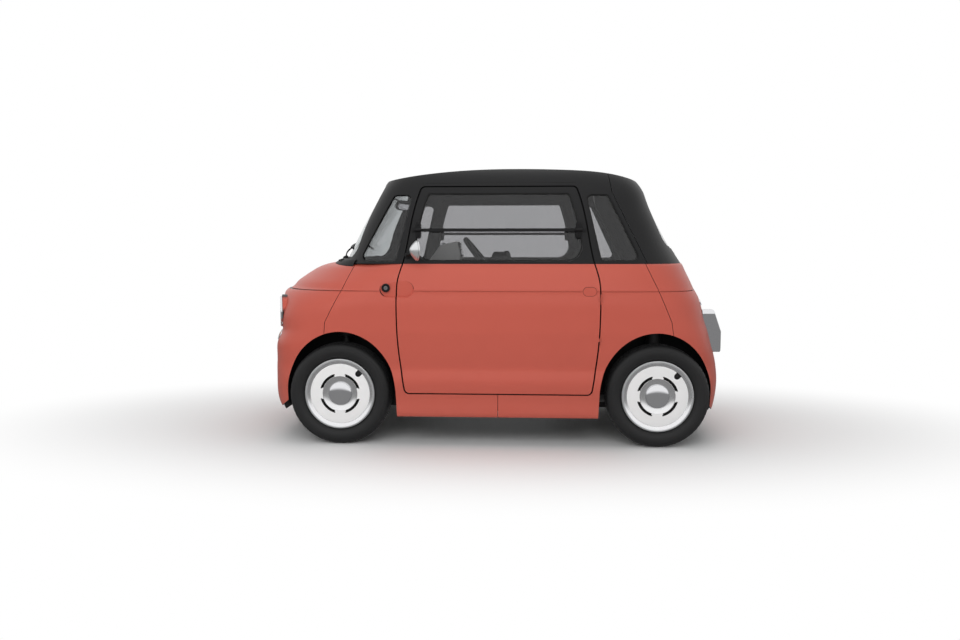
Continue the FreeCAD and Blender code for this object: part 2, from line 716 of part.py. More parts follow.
def quarter_prism(outline, grow):
    """Fixed side window opening from its four corners, counter-clockwise from low front."""
    (x0, z0), (x1, z1), (x2, z2), (x3, z3) = outline
    grown = [(x0 + grow, z0 - grow), (x1 + grow, z1 + grow), (x2 - grow, z2 + grow), (x3 - grow, z3 - grow)]
    return rounded_upright(prism_xz(grown, 0, WIDTH), PANE_CORNER / 2 + grow, Vector(0, 1, 0))


def roof_prism(grow):
    """Roof opening in plan."""
    half = ROOF_HALF + grow
    solid = box(ROOF_REAR_X - grow, ROOF_FRONT_X + grow, -half, half, SCREEN_LOW_Z, 2 * HEIGHT)
    return rounded_upright(solid, ROOF_CORNER + grow, Vector(0, 0, 1))


def hood_region(shift):
    """Space behind the seam of the rear hood, moved back by shift."""
    line = [(x - shift, z) for x, z in HOOD_LINE]
    return wide(WIDTH, line + [(-LENGTH, HOOD_LINE[-1][1]), (-LENGTH, HOOD_LINE[0][1])])


def greenhouse_frame(skin):
    """A-frame, side rails, door pillars and header as one ring round the windows."""
    frame = skin.common(above_belt()).cut(hood_region(0.0))
    holes = [windscreen_prism(GLASS_GAP), roof_prism(GLASS_GAP)]
    for prism in (door_prism(DOOR_GAP), quarter_prism(FRONT_QUARTER, GLASS_GAP),
                  quarter_prism(REAR_QUARTER, GLASS_GAP)):
        holes += [prism, mirrored(prism)]
    return frame.cut(holes)


def rear_hood(skin):
    """Black rear hood from the belt to the roof, with its window opening."""
    hood = skin.common(above_belt()).common(hood_region(PANEL_GAP))
    return hood.cut(rear_window_prism(GLASS_GAP))


def glass_layer():
    """Layer of the cabin's wall in which the panes lie."""
    return cabin_solid(GLASS_INSET).cut(cabin_solid(GLASS_INSET + GLASS))


# Doors

def door_shell(skin):
    """Left door below the belt."""
    return skin.common(door_prism(0.0)).common(below_belt())


def door_window_prism(grow):
    """Window opening in the left door, with wide curves at its lower corners."""
    low = BELT_Z + DOOR_SILL_STRIP - grow
    sill = box(-LENGTH, LENGTH, 0, WIDTH, low, 2 * HEIGHT)
    opening = door_prism(grow - DOOR_FRAME_WIDTH, DOOR_FRAME_WIDTH + WINDOW_CORNER).common(sill)
    corners = [edge for edge in opening.Edges if len(edge.Vertexes) == 2
               and all(abs(vertex.Z - low) < SEAT_GAP / 2 for vertex in edge.Vertexes)
               and abs(edge.Vertexes[0].X - edge.Vertexes[1].X) < SEAT_GAP / 2]
    return opening.makeFillet(FLAP_CORNER + grow, corners)


def door_frame(cabin_skin):
    """Left door's window frame with the rail that the lower flap hangs from."""
    frame = cabin_skin.common(door_prism(0.0)).common(above_belt())
    frame = frame.cut(door_window_prism(GLASS_GAP))
    rail = box(DOOR_MIDDLE_X - RAIL_HALF, DOOR_MIDDLE_X + RAIL_HALF, RAIL_Y, RAIL_Y + RAIL_DEPTH,
               FLAP_RAIL_Z - RAIL_HEIGHT / 2, FLAP_RAIL_Z + RAIL_HEIGHT / 2)
    return frame.fuse(rail)


def mirror_pod():
    """Left door mirror: round housing with a cone behind its rim, on an arm from the window frame."""
    back = Vector(MIRROR_X, MIRROR_Y, MIRROR_Z)
    waist = back + Vector(MIRROR_DEPTH * MIRROR_WAIST_SHARE, 0, 0)
    waist_radius = MIRROR_RADIUS * (1 - MIRROR_WAIST_SHARE / 2)
    cone = Part.makeCone(MIRROR_RADIUS, waist_radius, MIRROR_DEPTH * MIRROR_WAIST_SHARE,
                         back, Vector(1, 0, 0))
    tip = Part.makeCone(waist_radius, MIRROR_TIP_RADIUS, MIRROR_DEPTH * (1 - MIRROR_WAIST_SHARE),
                        waist, Vector(1, 0, 0))
    rim = cylinder(back - Vector(MIRROR_RIM, 0, 0), back, MIRROR_RADIUS)
    face = cylinder(back - Vector(MIRROR_RIM, 0, 0), back - Vector(MIRROR_RIM - MIRROR_FACE_DEPTH, 0, 0),
                    MIRROR_RADIUS - MIRROR_LIP)
    foot = Vector(MIRROR_FOOT_X, MIRROR_FOOT_Y, MIRROR_Z - MIRROR_RADIUS / 2)
    arm = cylinder(foot, back + Vector(MIRROR_DEPTH / 3, 0, -MIRROR_RADIUS / 3), MIRROR_ARM)
    return cone.fuse([tip, rim, arm]).cut([face, cabin_solid(-GLASS_GAP)])


def headlamp_axis(side):
    """Middle of the lens face and the direction a headlamp looks; side is 1 on the left."""
    yaw = math.radians(HEADLAMP_YAW)
    front = Vector(HEADLAMP_FRONT_X, side * HEADLAMP_Y, HEADLAMP_Z)
    return front, Vector(math.cos(yaw), side * math.sin(yaw), 0)


def hinge_heights():
    """Bottom and top of each hinge barrel."""
    return [(z, z + HINGE_HEIGHT) for z in (HINGE_LOW_Z, HINGE_HIGH_Z - HINGE_HEIGHT)]


def hinge_leaves(toward_door, side):
    """Door-side and body-side leaves of one door's hinges.

    toward_door is the sign along X from the pivot to the door, side the sign along Y.
    """
    x = DOOR_MIDDLE_X - toward_door * HINGE_REACH
    y = side * HINGE_Y
    door_side = []
    body_side = []
    plate_y = sorted((y - side * HINGE_RADIUS * LEAF_OUTER, y - side * HINGE_RADIUS * LEAF_INNER))
    for low, high in hinge_heights():
        third = (high - low) / 3
        mid_low = Vector(x, y, low + third + HINGE_CLEARANCE)
        mid_high = Vector(x, y, high - third - HINGE_CLEARANCE)
        reach = sorted((x, x + toward_door * (DOOR_GAP + HINGE_LEAF)))
        leaf = cylinder(mid_low, mid_high, HINGE_RADIUS)
        leaf = leaf.fuse(box(reach[0], reach[1], plate_y[0], plate_y[1], mid_low.z, mid_high.z))
        door_side.append(leaf.cut(cylinder(mid_low, mid_high, HINGE_PIN_RADIUS + HINGE_CLEARANCE)))
        reach = sorted((x, x - toward_door * (DOOR_GAP + HINGE_LEAF)))
        for start, end in ((low, low + third), (high - third, high)):
            body_side.append(cylinder(Vector(x, y, start), Vector(x, y, end), HINGE_RADIUS))
            body_side.append(box(reach[0], reach[1], plate_y[0], plate_y[1], start, end))
        body_side.append(cylinder(Vector(x, y, low), Vector(x, y, high), HINGE_PIN_RADIUS))
    return door_side, body_side


def door_leaves_room(toward_door, side):
    """Pockets in the body that the door-side barrels and leaves swing in."""
    x = DOOR_MIDDLE_X - toward_door * HINGE_REACH
    ends = sorted((x - toward_door * (HINGE_RADIUS + HINGE_POCKET), x + toward_door * 3 * DOOR_GAP))
    deep = HINGE_Y - HINGE_RADIUS * LEAF_INNER - HINGE_POCKET
    sides = sorted((side * deep, side * WIDTH))
    room = []
    for low, high in hinge_heights():
        third = (high - low) / 3
        room.append(box(ends[0], ends[1], sides[0], sides[1], low + third, high - third))
    return room


# Lamps

def headlamp_bowl():
    """Left headlamp: bright rounded ring, round reflector and the lamp holder in its middle."""
    front, axis = headlamp_axis(1)
    back = front - axis * HEADLAMP_DEPTH
    inner = HEADLAMP_RADIUS - LAMP_RING
    ring_front = front + axis * LAMP_RING
    bowl = cylinder(back, ring_front, HEADLAMP_RADIUS).cut(cylinder(front, ring_front, inner))
    rims = [edge for edge in bowl.Edges if len(edge.Vertexes) == 1
            and (edge.CenterOfMass - ring_front).dot(axis) > -SEAT_GAP]
    bowl = bowl.makeFillet(LAMP_RING / 3, rims).cut(Part.makeSphere(inner, front))
    return bowl.fuse(cylinder(back, front - axis * HOLDER_RECESS, HOLDER_RADIUS))


def headlamp_lens():
    """Domed clear glass in the front of the left bowl."""
    front, axis = headlamp_axis(1)
    radius = HEADLAMP_RADIUS - LAMP_RING - GLASS_GAP
    sphere_radius = (radius ** 2 + LENS_DOME ** 2) / (2 * LENS_DOME)
    centre = front + axis * (LENS_DOME - sphere_radius)
    layer = Part.makeSphere(sphere_radius, centre).cut(Part.makeSphere(sphere_radius - GLASS, centre))
    return layer.common(cylinder(front - axis * LENS_DOME, front + axis * 2 * LENS_DOME, radius))


def tail_lamp_block(grow):
    """Outer form of the left tail lamp, upright below and raked above, with round corners."""
    half = TAIL_LAMP_HEIGHT / 2 + grow
    low = TAIL_LAMP_Z - half
    face = TAIL_LAMP_FACE_X
    back = face + TAIL_LAMP_DEPTH
    outline = [(back, low), (face, low), (face, TAIL_LAMP_Z),
               (face + TAIL_LAMP_RAKE, TAIL_LAMP_Z + half), (back, TAIL_LAMP_Z + half)]
    wide_half = TAIL_LAMP_WIDTH / 2 + grow
    solid = prism_xz(outline, TAIL_LAMP_Y - wide_half, TAIL_LAMP_Y + wide_half)
    return rounded_upright(solid, TAIL_LAMP_CORNER + grow, Vector(1, 0, 0))


def tail_lamp_lens(grow):
    """Lens let into the rear face of the left tail lamp."""
    half = TAIL_LAMP_HEIGHT / 2 - LAMP_RING + grow
    wide_half = TAIL_LAMP_WIDTH / 2 - LAMP_RING + grow
    window = box(-LENGTH, TAIL_LAMP_FACE_X + TAIL_LAMP_RAKE + LAMP_RING + grow,
                 TAIL_LAMP_Y - wide_half, TAIL_LAMP_Y + wide_half,
                 TAIL_LAMP_Z - half, TAIL_LAMP_Z + half)
    window = rounded_upright(window, TAIL_LAMP_CORNER - LAMP_RING / 2 + grow, Vector(1, 0, 0))
    return window.common(tail_lamp_block(0.0))


# Floor, running gear and inside

def floor_tub():
    """Floor pan with sills, footwell, firewall, rear bulkhead and luggage deck."""
    low = FLOOR_Z - TUB_WALL
    wall = TUB_WALL
    outer = box(TUB_REAR_X, TUB_FRONT_X, -TUB_HALF_WIDTH, TUB_HALF_WIDTH, low, TUB_SILL_Z)
    inner = box(TUB_REAR_X + wall, TUB_FRONT_X - wall, -TUB_HALF_WIDTH + wall, TUB_HALF_WIDTH - wall,
                FLOOR_Z, HEIGHT)
    firewall = box(TUB_FRONT_X - wall, TUB_FRONT_X, -TUB_HALF_WIDTH, TUB_HALF_WIDTH, low, FIREWALL_Z)
    well = box(TUB_FRONT_X - wall, FOOTWELL_FRONT_X, -FOOTWELL_HALF_WIDTH, FOOTWELL_HALF_WIDTH,
               low, FOOTWELL_Z)
    well_inner = box(TUB_FRONT_X - 2 * wall, FOOTWELL_FRONT_X - wall, -FOOTWELL_HALF_WIDTH + wall,
                     FOOTWELL_HALF_WIDTH - wall, FLOOR_Z, FOOTWELL_Z - wall)
    bulkhead = box(TUB_REAR_X, TUB_REAR_X + wall, -TUB_HALF_WIDTH, TUB_HALF_WIDTH, low, DECK_Z)
    deck = box(DECK_REAR_X, TUB_REAR_X + wall, -DECK_HALF_WIDTH, DECK_HALF_WIDTH, DECK_Z - wall, DECK_Z)
    deck = deck.common(body_solid(BODY_WALL))
    flanges = box(TUB_REAR_X + SILL_FLANGE_INSET, TUB_FRONT_X - SILL_FLANGE_INSET, -WIDTH, WIDTH,
                  SILL_FLANGE_LOW_Z, SILL_FLANGE_LOW_Z + SILL_FLANGE_HEIGHT)
    flanges = flanges.common(body_solid(BODY_WALL + SEAT_GAP)).cut(inner)
    tub = outer.cut(inner).fuse([firewall, bulkhead, deck, flanges])
    return tub.fuse(well).cut(well_inner).removeSplitter()


def arch_liner(axle_x, toward_middle, half, room, passing):
    """Liner over one left wheel: an arch with an inner wall, open for what passes through it."""
    top = LINER_HEIGHT
    outer = arch_prism(axle_x, toward_middle, half + LINER_WALL, top + LINER_WALL,
                       LINER_INNER_Y - LINER_WALL, LINER_OUTER_Y)
    inner = arch_prism(axle_x, toward_middle, half, top, LINER_INNER_Y, WIDTH)
    floor = box(-LENGTH, LENGTH, 0, WIDTH, 0, LINER_FOOT_Z)
    window = box(axle_x - LINER_WINDOW_HALF, axle_x + LINER_WINDOW_HALF, 0, LINER_INNER_Y + LINER_WALL,
                 0, LINER_WINDOW_Z)
    return outer.cut([inner, floor, window] + passing).common(room)


def outline_y(centre, side, points, arcs=None):
    """Closed (radius, y) outline beside the wheel's middle; arcs gives the middle point of a round run."""
    def place(radius, y):
        return Vector(centre.x + radius, centre.y + side * y, centre.z)

    corners = [place(radius, y) for radius, y in points]
    edges = []
    for number, (start, end) in enumerate(zip(corners, corners[1:] + corners[:1])):
        if arcs and number in arcs:
            edges.append(Part.Arc(start, place(*arcs[number]), end).toShape())
        else:
            edges.append(Part.makeLine(start, end))
    return Part.Face(Part.Wire(edges))


def tyre(centre):
    """One tyre, sidewalls as straight runs between bead, bulge, shoulder and tread."""
    half = TYRE_WIDTH / 2
    rows = [(RIM_SEAT, BEAD_HALF_WIDTH), (RIM_RADIUS + BEAD_LEDGE, BEAD_HALF_WIDTH),
            (RIM_RADIUS + SIDEWALL_BULGE, half), (TYRE_RADIUS - TREAD_SHOULDER, half - SHOULDER_DRAW),
            (TYRE_RADIUS - TREAD_EDGE, half - TREAD_SHOULDER / 2), (TYRE_RADIUS, half - TREAD_SHOULDER)]
    outline = outline_y(centre, 1, rows + [(r, -y) for r, y in reversed(rows)])
    return outline.revolve(centre, Vector(0, 1, 0), 360)


def cover_slots(centre, side):
    """Four arc-shaped pockets round the wheel's hub ring."""
    floor, mouth = COVER_Y - SLOT_DEPTH, COVER_Y + SLOT_DEPTH
    section = outline_y(centre, side, [(HUB_RING_RADIUS, floor), (HUB_RING_RADIUS + SLOT_WIDTH, floor),
                                       (HUB_RING_RADIUS + SLOT_WIDTH, mouth), (HUB_RING_RADIUS, mouth)])
    slot = section.revolve(centre, Vector(0, 1, 0), 90 - SLOT_SPOKE)
    slots = []
    for quarter in range(4):
        turned = slot.copy()
        turned.rotate(centre, Vector(0, 1, 0), SLOT_SPOKE / 2 + 90 * quarter)
        slots.append(turned)
    return slots


def valve_notch(centre, side):
    """Pocket for the valve in the wheel cover, above and behind the hub."""
    face_y = centre.y + side * COVER_Y
    ends = sorted((face_y - side * VALVE_DEPTH, face_y + side * VALVE_DEPTH))
    notch = box(centre.x - VALVE_WIDTH / 2, centre.x + VALVE_WIDTH / 2, ends[0], ends[1],
                centre.z + VALVE_RADIUS - VALVE_LENGTH / 2, centre.z + VALVE_RADIUS + VALVE_LENGTH / 2)
    notch = rounded_upright(notch, VALVE_WIDTH / 3, Vector(0, 1, 0))
    notch.rotate(centre, Vector(0, 1, 0), -VALVE_ANGLE)
    return notch


def wheel_disc(centre, side):
    """Rim barrel, dished disc with its domed cap and slotted cover, and the hub with brake disc."""
    flange = BEAD_HALF_WIDTH + GLASS_GAP
    seat = RIM_SEAT - GLASS_GAP
    bore = STUB_RADIUS + SEAT_GAP
    brake = -BRAKE_OFFSET
    face = [(0, CAP_Y), (CAP_RADIUS, CAP_RIM_Y), (CAP_RADIUS, HUB_RING_Y),
            (HUB_RING_RADIUS - COVER_STEP, COVER_Y), (COVER_RADIUS, COVER_Y),
            (COVER_RADIUS + COVER_STEP, COVER_Y - COVER_STEP), (LIP_RADIUS, COVER_Y + COVER_STEP),
            (LIP_RADIUS + COVER_STEP, LIP_Y), (RIM_RADIUS, LIP_Y - COVER_STEP), (RIM_RADIUS, flange),
            (seat, flange)]
    barrel = [(seat, BARREL_EDGE_Y), (WELL_RADIUS, WELL_HALF), (WELL_RADIUS, -WELL_HALF),
              (seat, -BARREL_EDGE_Y), (seat, -flange), (RIM_RADIUS, -flange), (RIM_RADIUS, -BACK_LIP_Y),
              (RIM_RADIUS - LIP_WIDTH, -BACK_LIP_Y), (WELL_RADIUS - RIM_WALL, -BARREL_EDGE_Y),
              (WELL_RADIUS - RIM_WALL, COVER_BACK_Y)]
    back = [(HUB_RING_RADIUS, COVER_BACK_Y), (HUB_RADIUS, COVER_BACK_Y - RIM_WALL), (HUB_RADIUS, brake),
            (BRAKE_RADIUS, brake), (BRAKE_RADIUS, brake - BRAKE_THICKNESS), (bore, brake - BRAKE_THICKNESS),
            (bore, STUB_REACH + SEAT_GAP), (0, STUB_REACH + SEAT_GAP)]
    dome = {0: (CAP_RADIUS * 0.6, CAP_RIM_Y + (CAP_Y - CAP_RIM_Y) * 0.72)}
    wheel = outline_y(centre, side, face + barrel + back, dome).revolve(centre, Vector(0, 1, 0), 360)
    return wheel.cut(cover_slots(centre, side) + [valve_notch(centre, side)])


def kingpin_point(height):
    """Point on the left kingpin axis at a height."""
    share = (height - KINGPIN_LOW_Z) / (KINGPIN_TOP_Z - KINGPIN_LOW_Z)
    return Vector(FRONT_AXLE_X, KINGPIN_LOW_Y + share * (KINGPIN_TOP_Y - KINGPIN_LOW_Y), height)


def knuckle():
    """Left steering knuckle: upright on the kingpin axis, stub axle and steering arm."""
    upright = cylinder(kingpin_point(KNUCKLE_LOW_Z), kingpin_point(KNUCKLE_HIGH_Z), KNUCKLE_RADIUS)
    hub = kingpin_point(TYRE_RADIUS)
    stub = cylinder(hub, Vector(hub.x, WHEEL_Y + STUB_REACH, hub.z), STUB_RADIUS)
    arm = box(hub.x - STEER_ARM_LENGTH, hub.x, hub.y - STEER_ARM_WIDTH / 2, hub.y + STEER_ARM_WIDTH / 2,
              hub.z - STEER_ARM_DROP, hub.z - STEER_ARM_DROP + STEER_ARM_HEIGHT)
    return upright.fuse([stub, arm])


def front_corner():
    """Lower arms, strut, tower and drive shaft of the left front corner."""
    x = FRONT_AXLE_X
    ball = kingpin_point(KINGPIN_LOW_Z - BALL_DROP)
    low = kingpin_point(KNUCKLE_HIGH_Z + SEAT_GAP)
    top = kingpin_point(KINGPIN_TOP_Z)
    tower_low = KINGPIN_TOP_Z - TOWER_DROP
    tower_high = tower_low + TOWER_PLATE
    arm_y = TOWER_Y - BALL_RADIUS
    arm_z = SUBFRAME_Z + SUBFRAME_HEIGHT / 2
    return [cylinder(Vector(x - ARM_SPREAD, arm_y, arm_z), ball, ARM_RADIUS),
            cylinder(Vector(x + ARM_SPREAD, arm_y, arm_z), ball, ARM_RADIUS),
            cylinder(ball, kingpin_point(KNUCKLE_LOW_Z - SEAT_GAP), BALL_RADIUS),
            cylinder(low, top, STRUT_RADIUS), cylinder(kingpin_point(SPRING_LOW_Z), top, SPRING_RADIUS),
            box(x - TOWER_HALF, x + TOWER_HALF, TOWER_Y, KINGPIN_TOP_Y + SPRING_RADIUS + TOWER_PLATE,
                tower_low, tower_high),
            box(x - ARM_SPREAD - BEAM_HALF, x + ARM_SPREAD + BEAM_HALF, TOWER_Y, TOWER_Y + TOWER_PLATE,
                SUBFRAME_Z, tower_high),
            cylinder(Vector(x, MOTOR_HALF_WIDTH, TYRE_RADIUS), Vector(x, DRIVE_SHAFT_END_Y, TYRE_RADIUS),
                     DRIVE_SHAFT_RADIUS)]


def crash_beam():
    """Beam behind the bumper on two rails, with the threaded socket of the towing eye."""
    front_x = FRONT_AXLE_X + ARM_SPREAD + BEAM_HALF + SEAT_GAP
    low, high = CRASH_BEAM_LOW_Z, CRASH_BEAM_LOW_Z + CRASH_BEAM_HEIGHT
    beam = box(CRASH_BEAM_X, CRASH_BEAM_X + CRASH_BEAM_DEPTH, -CRASH_BEAM_HALF, CRASH_BEAM_HALF, low, high)
    rail = box(front_x, CRASH_BEAM_X, TOWER_Y, TOWER_Y + CRASH_RAIL_WIDTH, low, high)
    mouth = Vector(TOW_SOCKET_FRONT_X, TOW_SOCKET_Y, TOW_SOCKET_Z)
    back = Vector(CRASH_BEAM_X, TOW_SOCKET_Y, TOW_SOCKET_Z)
    beam = beam.fuse([rail, mirrored(rail), cylinder(back, mouth, TOW_SOCKET_RADIUS + SOCKET_WALL)])
    reach = Vector(CRASH_BEAM_DEPTH, 0, 0)
    return beam.cut(cylinder(back, mouth + reach, TOW_SOCKET_RADIUS)).removeSplitter()


def front_subframe():
    """Cross beams and both front corners in one welded and bolted unit."""
    x = FRONT_AXLE_X
    beams = [box(station - BEAM_HALF, station + BEAM_HALF, -TOWER_Y, TOWER_Y,
                 SUBFRAME_Z, SUBFRAME_Z + SUBFRAME_HEIGHT)
             for station in (x - ARM_SPREAD, x + ARM_SPREAD)]
    left = front_corner()
    right = [mirrored(piece) for piece in left]
    return beams[0].fuse(beams[1:] + left + right)


def trailing_arm(radius):
    """Left trailing arm from its pivot at the tub to the stub axle."""
    slope = (TYRE_RADIUS - TRAILING_PIVOT_Z) / (TUB_REAR_X - REAR_AXLE_X)
    pivot_x = TUB_REAR_X - SEAT_GAP - TRAILING_ARM_RADIUS * slope
    return cylinder(Vector(pivot_x, REAR_ARM_Y, TRAILING_PIVOT_Z),
                    Vector(REAR_AXLE_X, REAR_ARM_Y, TYRE_RADIUS), radius)


def rear_beam():
    """Twist beam, trailing arms, dampers and stub axles."""
    x, z = REAR_AXLE_X, TYRE_RADIUS
    deck_under = DECK_Z - TUB_WALL
    pieces = [trailing_arm(TRAILING_ARM_RADIUS), mirrored(trailing_arm(TRAILING_ARM_RADIUS))]
    for side in (1, -1):
        y = side * REAR_ARM_Y
        pieces.append(cylinder(Vector(x, y - side * STUB_RADIUS, z),
                               Vector(x, side * (WHEEL_Y + STUB_REACH), z), STUB_RADIUS))
        pieces.append(cylinder(Vector(x, y, z), Vector(x, y, deck_under), STRUT_RADIUS))
        pieces.append(cylinder(Vector(x, y, z + DAMPER_RISE), Vector(x, y, deck_under), DAMPER_RADIUS))
    end = Vector(REAR_BEAM_X, REAR_ARM_Y, REAR_BEAM_Z)
    beam = cylinder(end - Vector(0, 2 * REAR_ARM_Y, 0), end, REAR_BEAM_RADIUS)
    return beam.fuse(pieces)


def rounded_outline(points, radius):
    """Side-view polygon at y = 0 as a face with its outer corners rounded."""
    corners = [Vector(x, 0, z) for x, z in points]
    face = Part.Face(Part.makePolygon(corners + corners[:1]))
    return face.makeOffset2D(-radius).makeOffset2D(radius)


def seat():
    """Left seat: cushion and back in one rounded shell on a pedestal."""
    half = SEAT_WIDTH / 2
    face = rounded_outline(SEAT_OUTLINE, SEAT_CORNER)
    face.translate(Vector(0, SEAT_Y - half, 0))
    body = face.extrude(Vector(0, SEAT_WIDTH, 0))
    sides = [edge for edge in body.Edges if abs(edge.BoundBox.YLength) < SEAT_GAP]
    body = body.makeFillet(SEAT_SOFT, sides)
    base = box(SEAT_BASE_REAR_X, SEAT_BASE_FRONT_X, SEAT_Y - half + SEAT_BASE_INSET,
               SEAT_Y + half - SEAT_BASE_INSET, FLOOR_Z, SEAT_BASE_Z)
    return body.fuse(base)


def dashboard():
    """Dash shelf across the car, instrument pod and steering column cover."""
    firewall_x = TUB_FRONT_X - TUB_WALL - SEAT_GAP
    outline = DASH_TOP + [(firewall_x, DASH_LEDGE_Z), (firewall_x, DASH_KNEE_Z), (DASH_KNEE_X, DASH_KNEE_Z),
                          (DASH_TOP[0][0] + DASH_LIP, DASH_LIP_Z)]
    shelf = prism_xz(outline, -DASH_HALF_WIDTH, DASH_HALF_WIDTH)
    pod = rounded_outline(POD_OUTLINE, POD_CORNER)
    pod.translate(Vector(0, WHEEL_CENTRE.y - POD_HALF_WIDTH, 0))
    pod = pod.extrude(Vector(0, 2 * POD_HALF_WIDTH, 0))
    column = cylinder(WHEEL_CENTRE + COLUMN_AXIS * COLUMN_START, WHEEL_CENTRE + COLUMN_AXIS * COLUMN_END,
                      COLUMN_RADIUS)
    return shelf.fuse([pod, column]).common(body_room())


def body_room():
    """Space inside the car's walls."""
    lower = body_solid(BODY_WALL + TRIM_ROOM)
    return lower.fuse(cabin_solid(FRAME_WALL + TRIM_ROOM))


def steering_wheel():
    """Rim, three spokes and hub on the column axis."""
    ring = Part.makeTorus(STEERING_RADIUS, STEERING_GRIP, WHEEL_CENTRE, COLUMN_AXIS)
    hub = cylinder(WHEEL_CENTRE - COLUMN_AXIS * HUB_PAD,
                   WHEEL_CENTRE + COLUMN_AXIS * (COLUMN_START - SEAT_GAP), COLUMN_RADIUS + COVER_STEP)
    across = Vector(0, 1, 0)
    down = across.cross(COLUMN_AXIS)
    spokes = []
    for direction in (across, -across, down):
        spokes.append(cylinder(WHEEL_CENTRE + direction * COLUMN_RADIUS / 2,
                               WHEEL_CENTRE + direction * STEERING_RADIUS, SPOKE_RADIUS))
    return ring.fuse([hub] + spokes)


def motor_block():
    """Closed drive unit between the front wheels."""
    return box(MOTOR_REAR_X, MOTOR_REAR_X + MOTOR_LENGTH, -MOTOR_HALF_WIDTH, MOTOR_HALF_WIDTH,
               SUBFRAME_Z + SUBFRAME_HEIGHT, MOTOR_TOP_Z)


def battery_box():
    """Closed battery case under the floor."""
    return box(-BATTERY_LENGTH / 2, BATTERY_LENGTH / 2, -BATTERY_WIDTH / 2, BATTERY_WIDTH / 2,
               BATTERY_LOW_Z, FLOOR_Z - TUB_WALL)


def export(name, shape):
    """Write one piece."""
    shape.exportStep("parts/" + name + ".step")
    print(name, len(shape.Solids), round(shape.Volume / 1e6, 2), shape.isValid())


def main():
    """Build and write every piece."""
    os.makedirs("parts", exist_ok=True)
    arches = body_arches()
    wall_skin = shell(BODY_WALL)
    end_skin = shell(END_WALL)
    cabin_skin = cabin_solid(0.0).cut(cabin_solid(FRAME_WALL))
    panes = glass_layer()

    export("nose_panel", nose_panel(end_skin, arches))
    export("tail_panel", tail_panel(end_skin, arches))
    recess, lock, cap = lock_recess(), lock_barrel(), blank_cap()
    left_side = side_panel(wall_skin, arches)
    export("greenhouse_frame", greenhouse_frame(cabin_skin))
    export("rear_hood", rear_hood(cabin_skin))
    export("roof_panel", cabin_skin.common(roof_prism(0.0)))
    export("windscreen", panes.common(windscreen_prism(0.0)))
    export("rear_window", panes.common(rear_window_prism(0.0)))
    quarter = Part.makeCompound([panes.common(quarter_prism(FRONT_QUARTER, 0.0)),
                                 panes.common(quarter_prism(REAR_QUARTER, 0.0))])
    export("quarter_glass_left", quarter)
    export("quarter_glass_right", mirrored(quarter))

    pieces = {"frame": door_frame(cabin_skin), "glass": panes.common(door_window_prism(0.0)),
              "mirror": mirror_pod()}
    for name, piece in pieces.items():
        export("door_left_" + name, piece)
        export("door_right_" + name, mirrored(piece))
    left_shell = door_shell(wall_skin)
    for name, panel, door, toward_door, side, fittings in (
            ("left", left_side, left_shell, 1, 1, [recess, lock, cap]),
            ("right", mirrored(left_side), mirrored(left_shell), -1, -1,
             [across_middle(shape) for shape in (recess, lock, cap)])):
        door_leaves, body_leaves = hinge_leaves(toward_door, side)
        pressed, barrel, cover = fittings
        export("door_" + name + "_shell", door.cut(pressed).fuse(door_leaves + [cover]))
        panel = panel.cut([pressed] + door_leaves_room(toward_door, side))
        export("side_panel_" + name, panel.fuse(body_leaves + [barrel]))

    export("headlamp_bowls", both_sides(headlamp_bowl()))
    export("headlamp_lenses", both_sides(headlamp_lens()))
    export("tail_lamps", both_sides(tail_lamp_block(0.0).cut(tail_lamp_lens(GLASS_GAP))))
    export("tail_lamp_lenses", both_sides(tail_lamp_lens(0.0)))

    export("floor_tub", floor_tub())
    room = body_solid(END_WALL + SEAT_GAP)
    front_strut = cylinder(kingpin_point(KNUCKLE_HIGH_Z), kingpin_point(KINGPIN_TOP_Z),
                           SPRING_RADIUS + ARM_ROOM)
    rear_strut = cylinder(Vector(REAR_AXLE_X, REAR_ARM_Y, TYRE_RADIUS),
                          Vector(REAR_AXLE_X, REAR_ARM_Y, DECK_Z), DAMPER_RADIUS + ARM_ROOM)
    front_liner = arch_liner(FRONT_AXLE_X, -1, FRONT_LINER_HALF, room, [front_strut])
    rear_liner = arch_liner(REAR_AXLE_X, 1, REAR_LINER_HALF, room,
                            [rear_strut, trailing_arm(TRAILING_ARM_RADIUS + ARM_ROOM)])
    export("arch_liners_front", both_sides(front_liner))
    export("arch_liners_rear", both_sides(rear_liner))
    export("front_subframe", front_subframe())
    export("crash_beam", crash_beam())
    export("rear_beam", rear_beam())
    export("motor_block", motor_block())
    export("battery_box", battery_box())
    export("dashboard", dashboard())
    left_seat = seat()
    export("seat_left", left_seat)
    export("seat_right", mirrored(left_seat))
    export("steering_wheel", steering_wheel())
    left_knuckle = knuckle()
    export("knuckle_left", left_knuckle)
    export("knuckle_right", mirrored(left_knuckle))
    for end, axle_x in (("front", FRONT_AXLE_X), ("rear", REAR_AXLE_X)):
        for name, side in (("left", 1), ("right", -1)):
            centre = Vector(axle_x, side * WHEEL_Y, TYRE_RADIUS)
            export("tyre_" + end + "_" + name, tyre(centre))
            export("wheel_" + end + "_" + name, wheel_disc(centre, side))


if __name__ == "__main__":
    main()
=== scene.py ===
"""Looks of the two-seat electric microcar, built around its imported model."""

import math

import bmesh
import bpy
from bpy.props import BoolProperty, FloatProperty, FloatVectorProperty, IntProperty, PointerProperty
from mathutils import Matrix, Vector
from mathutils.bvhtree import BVHTree


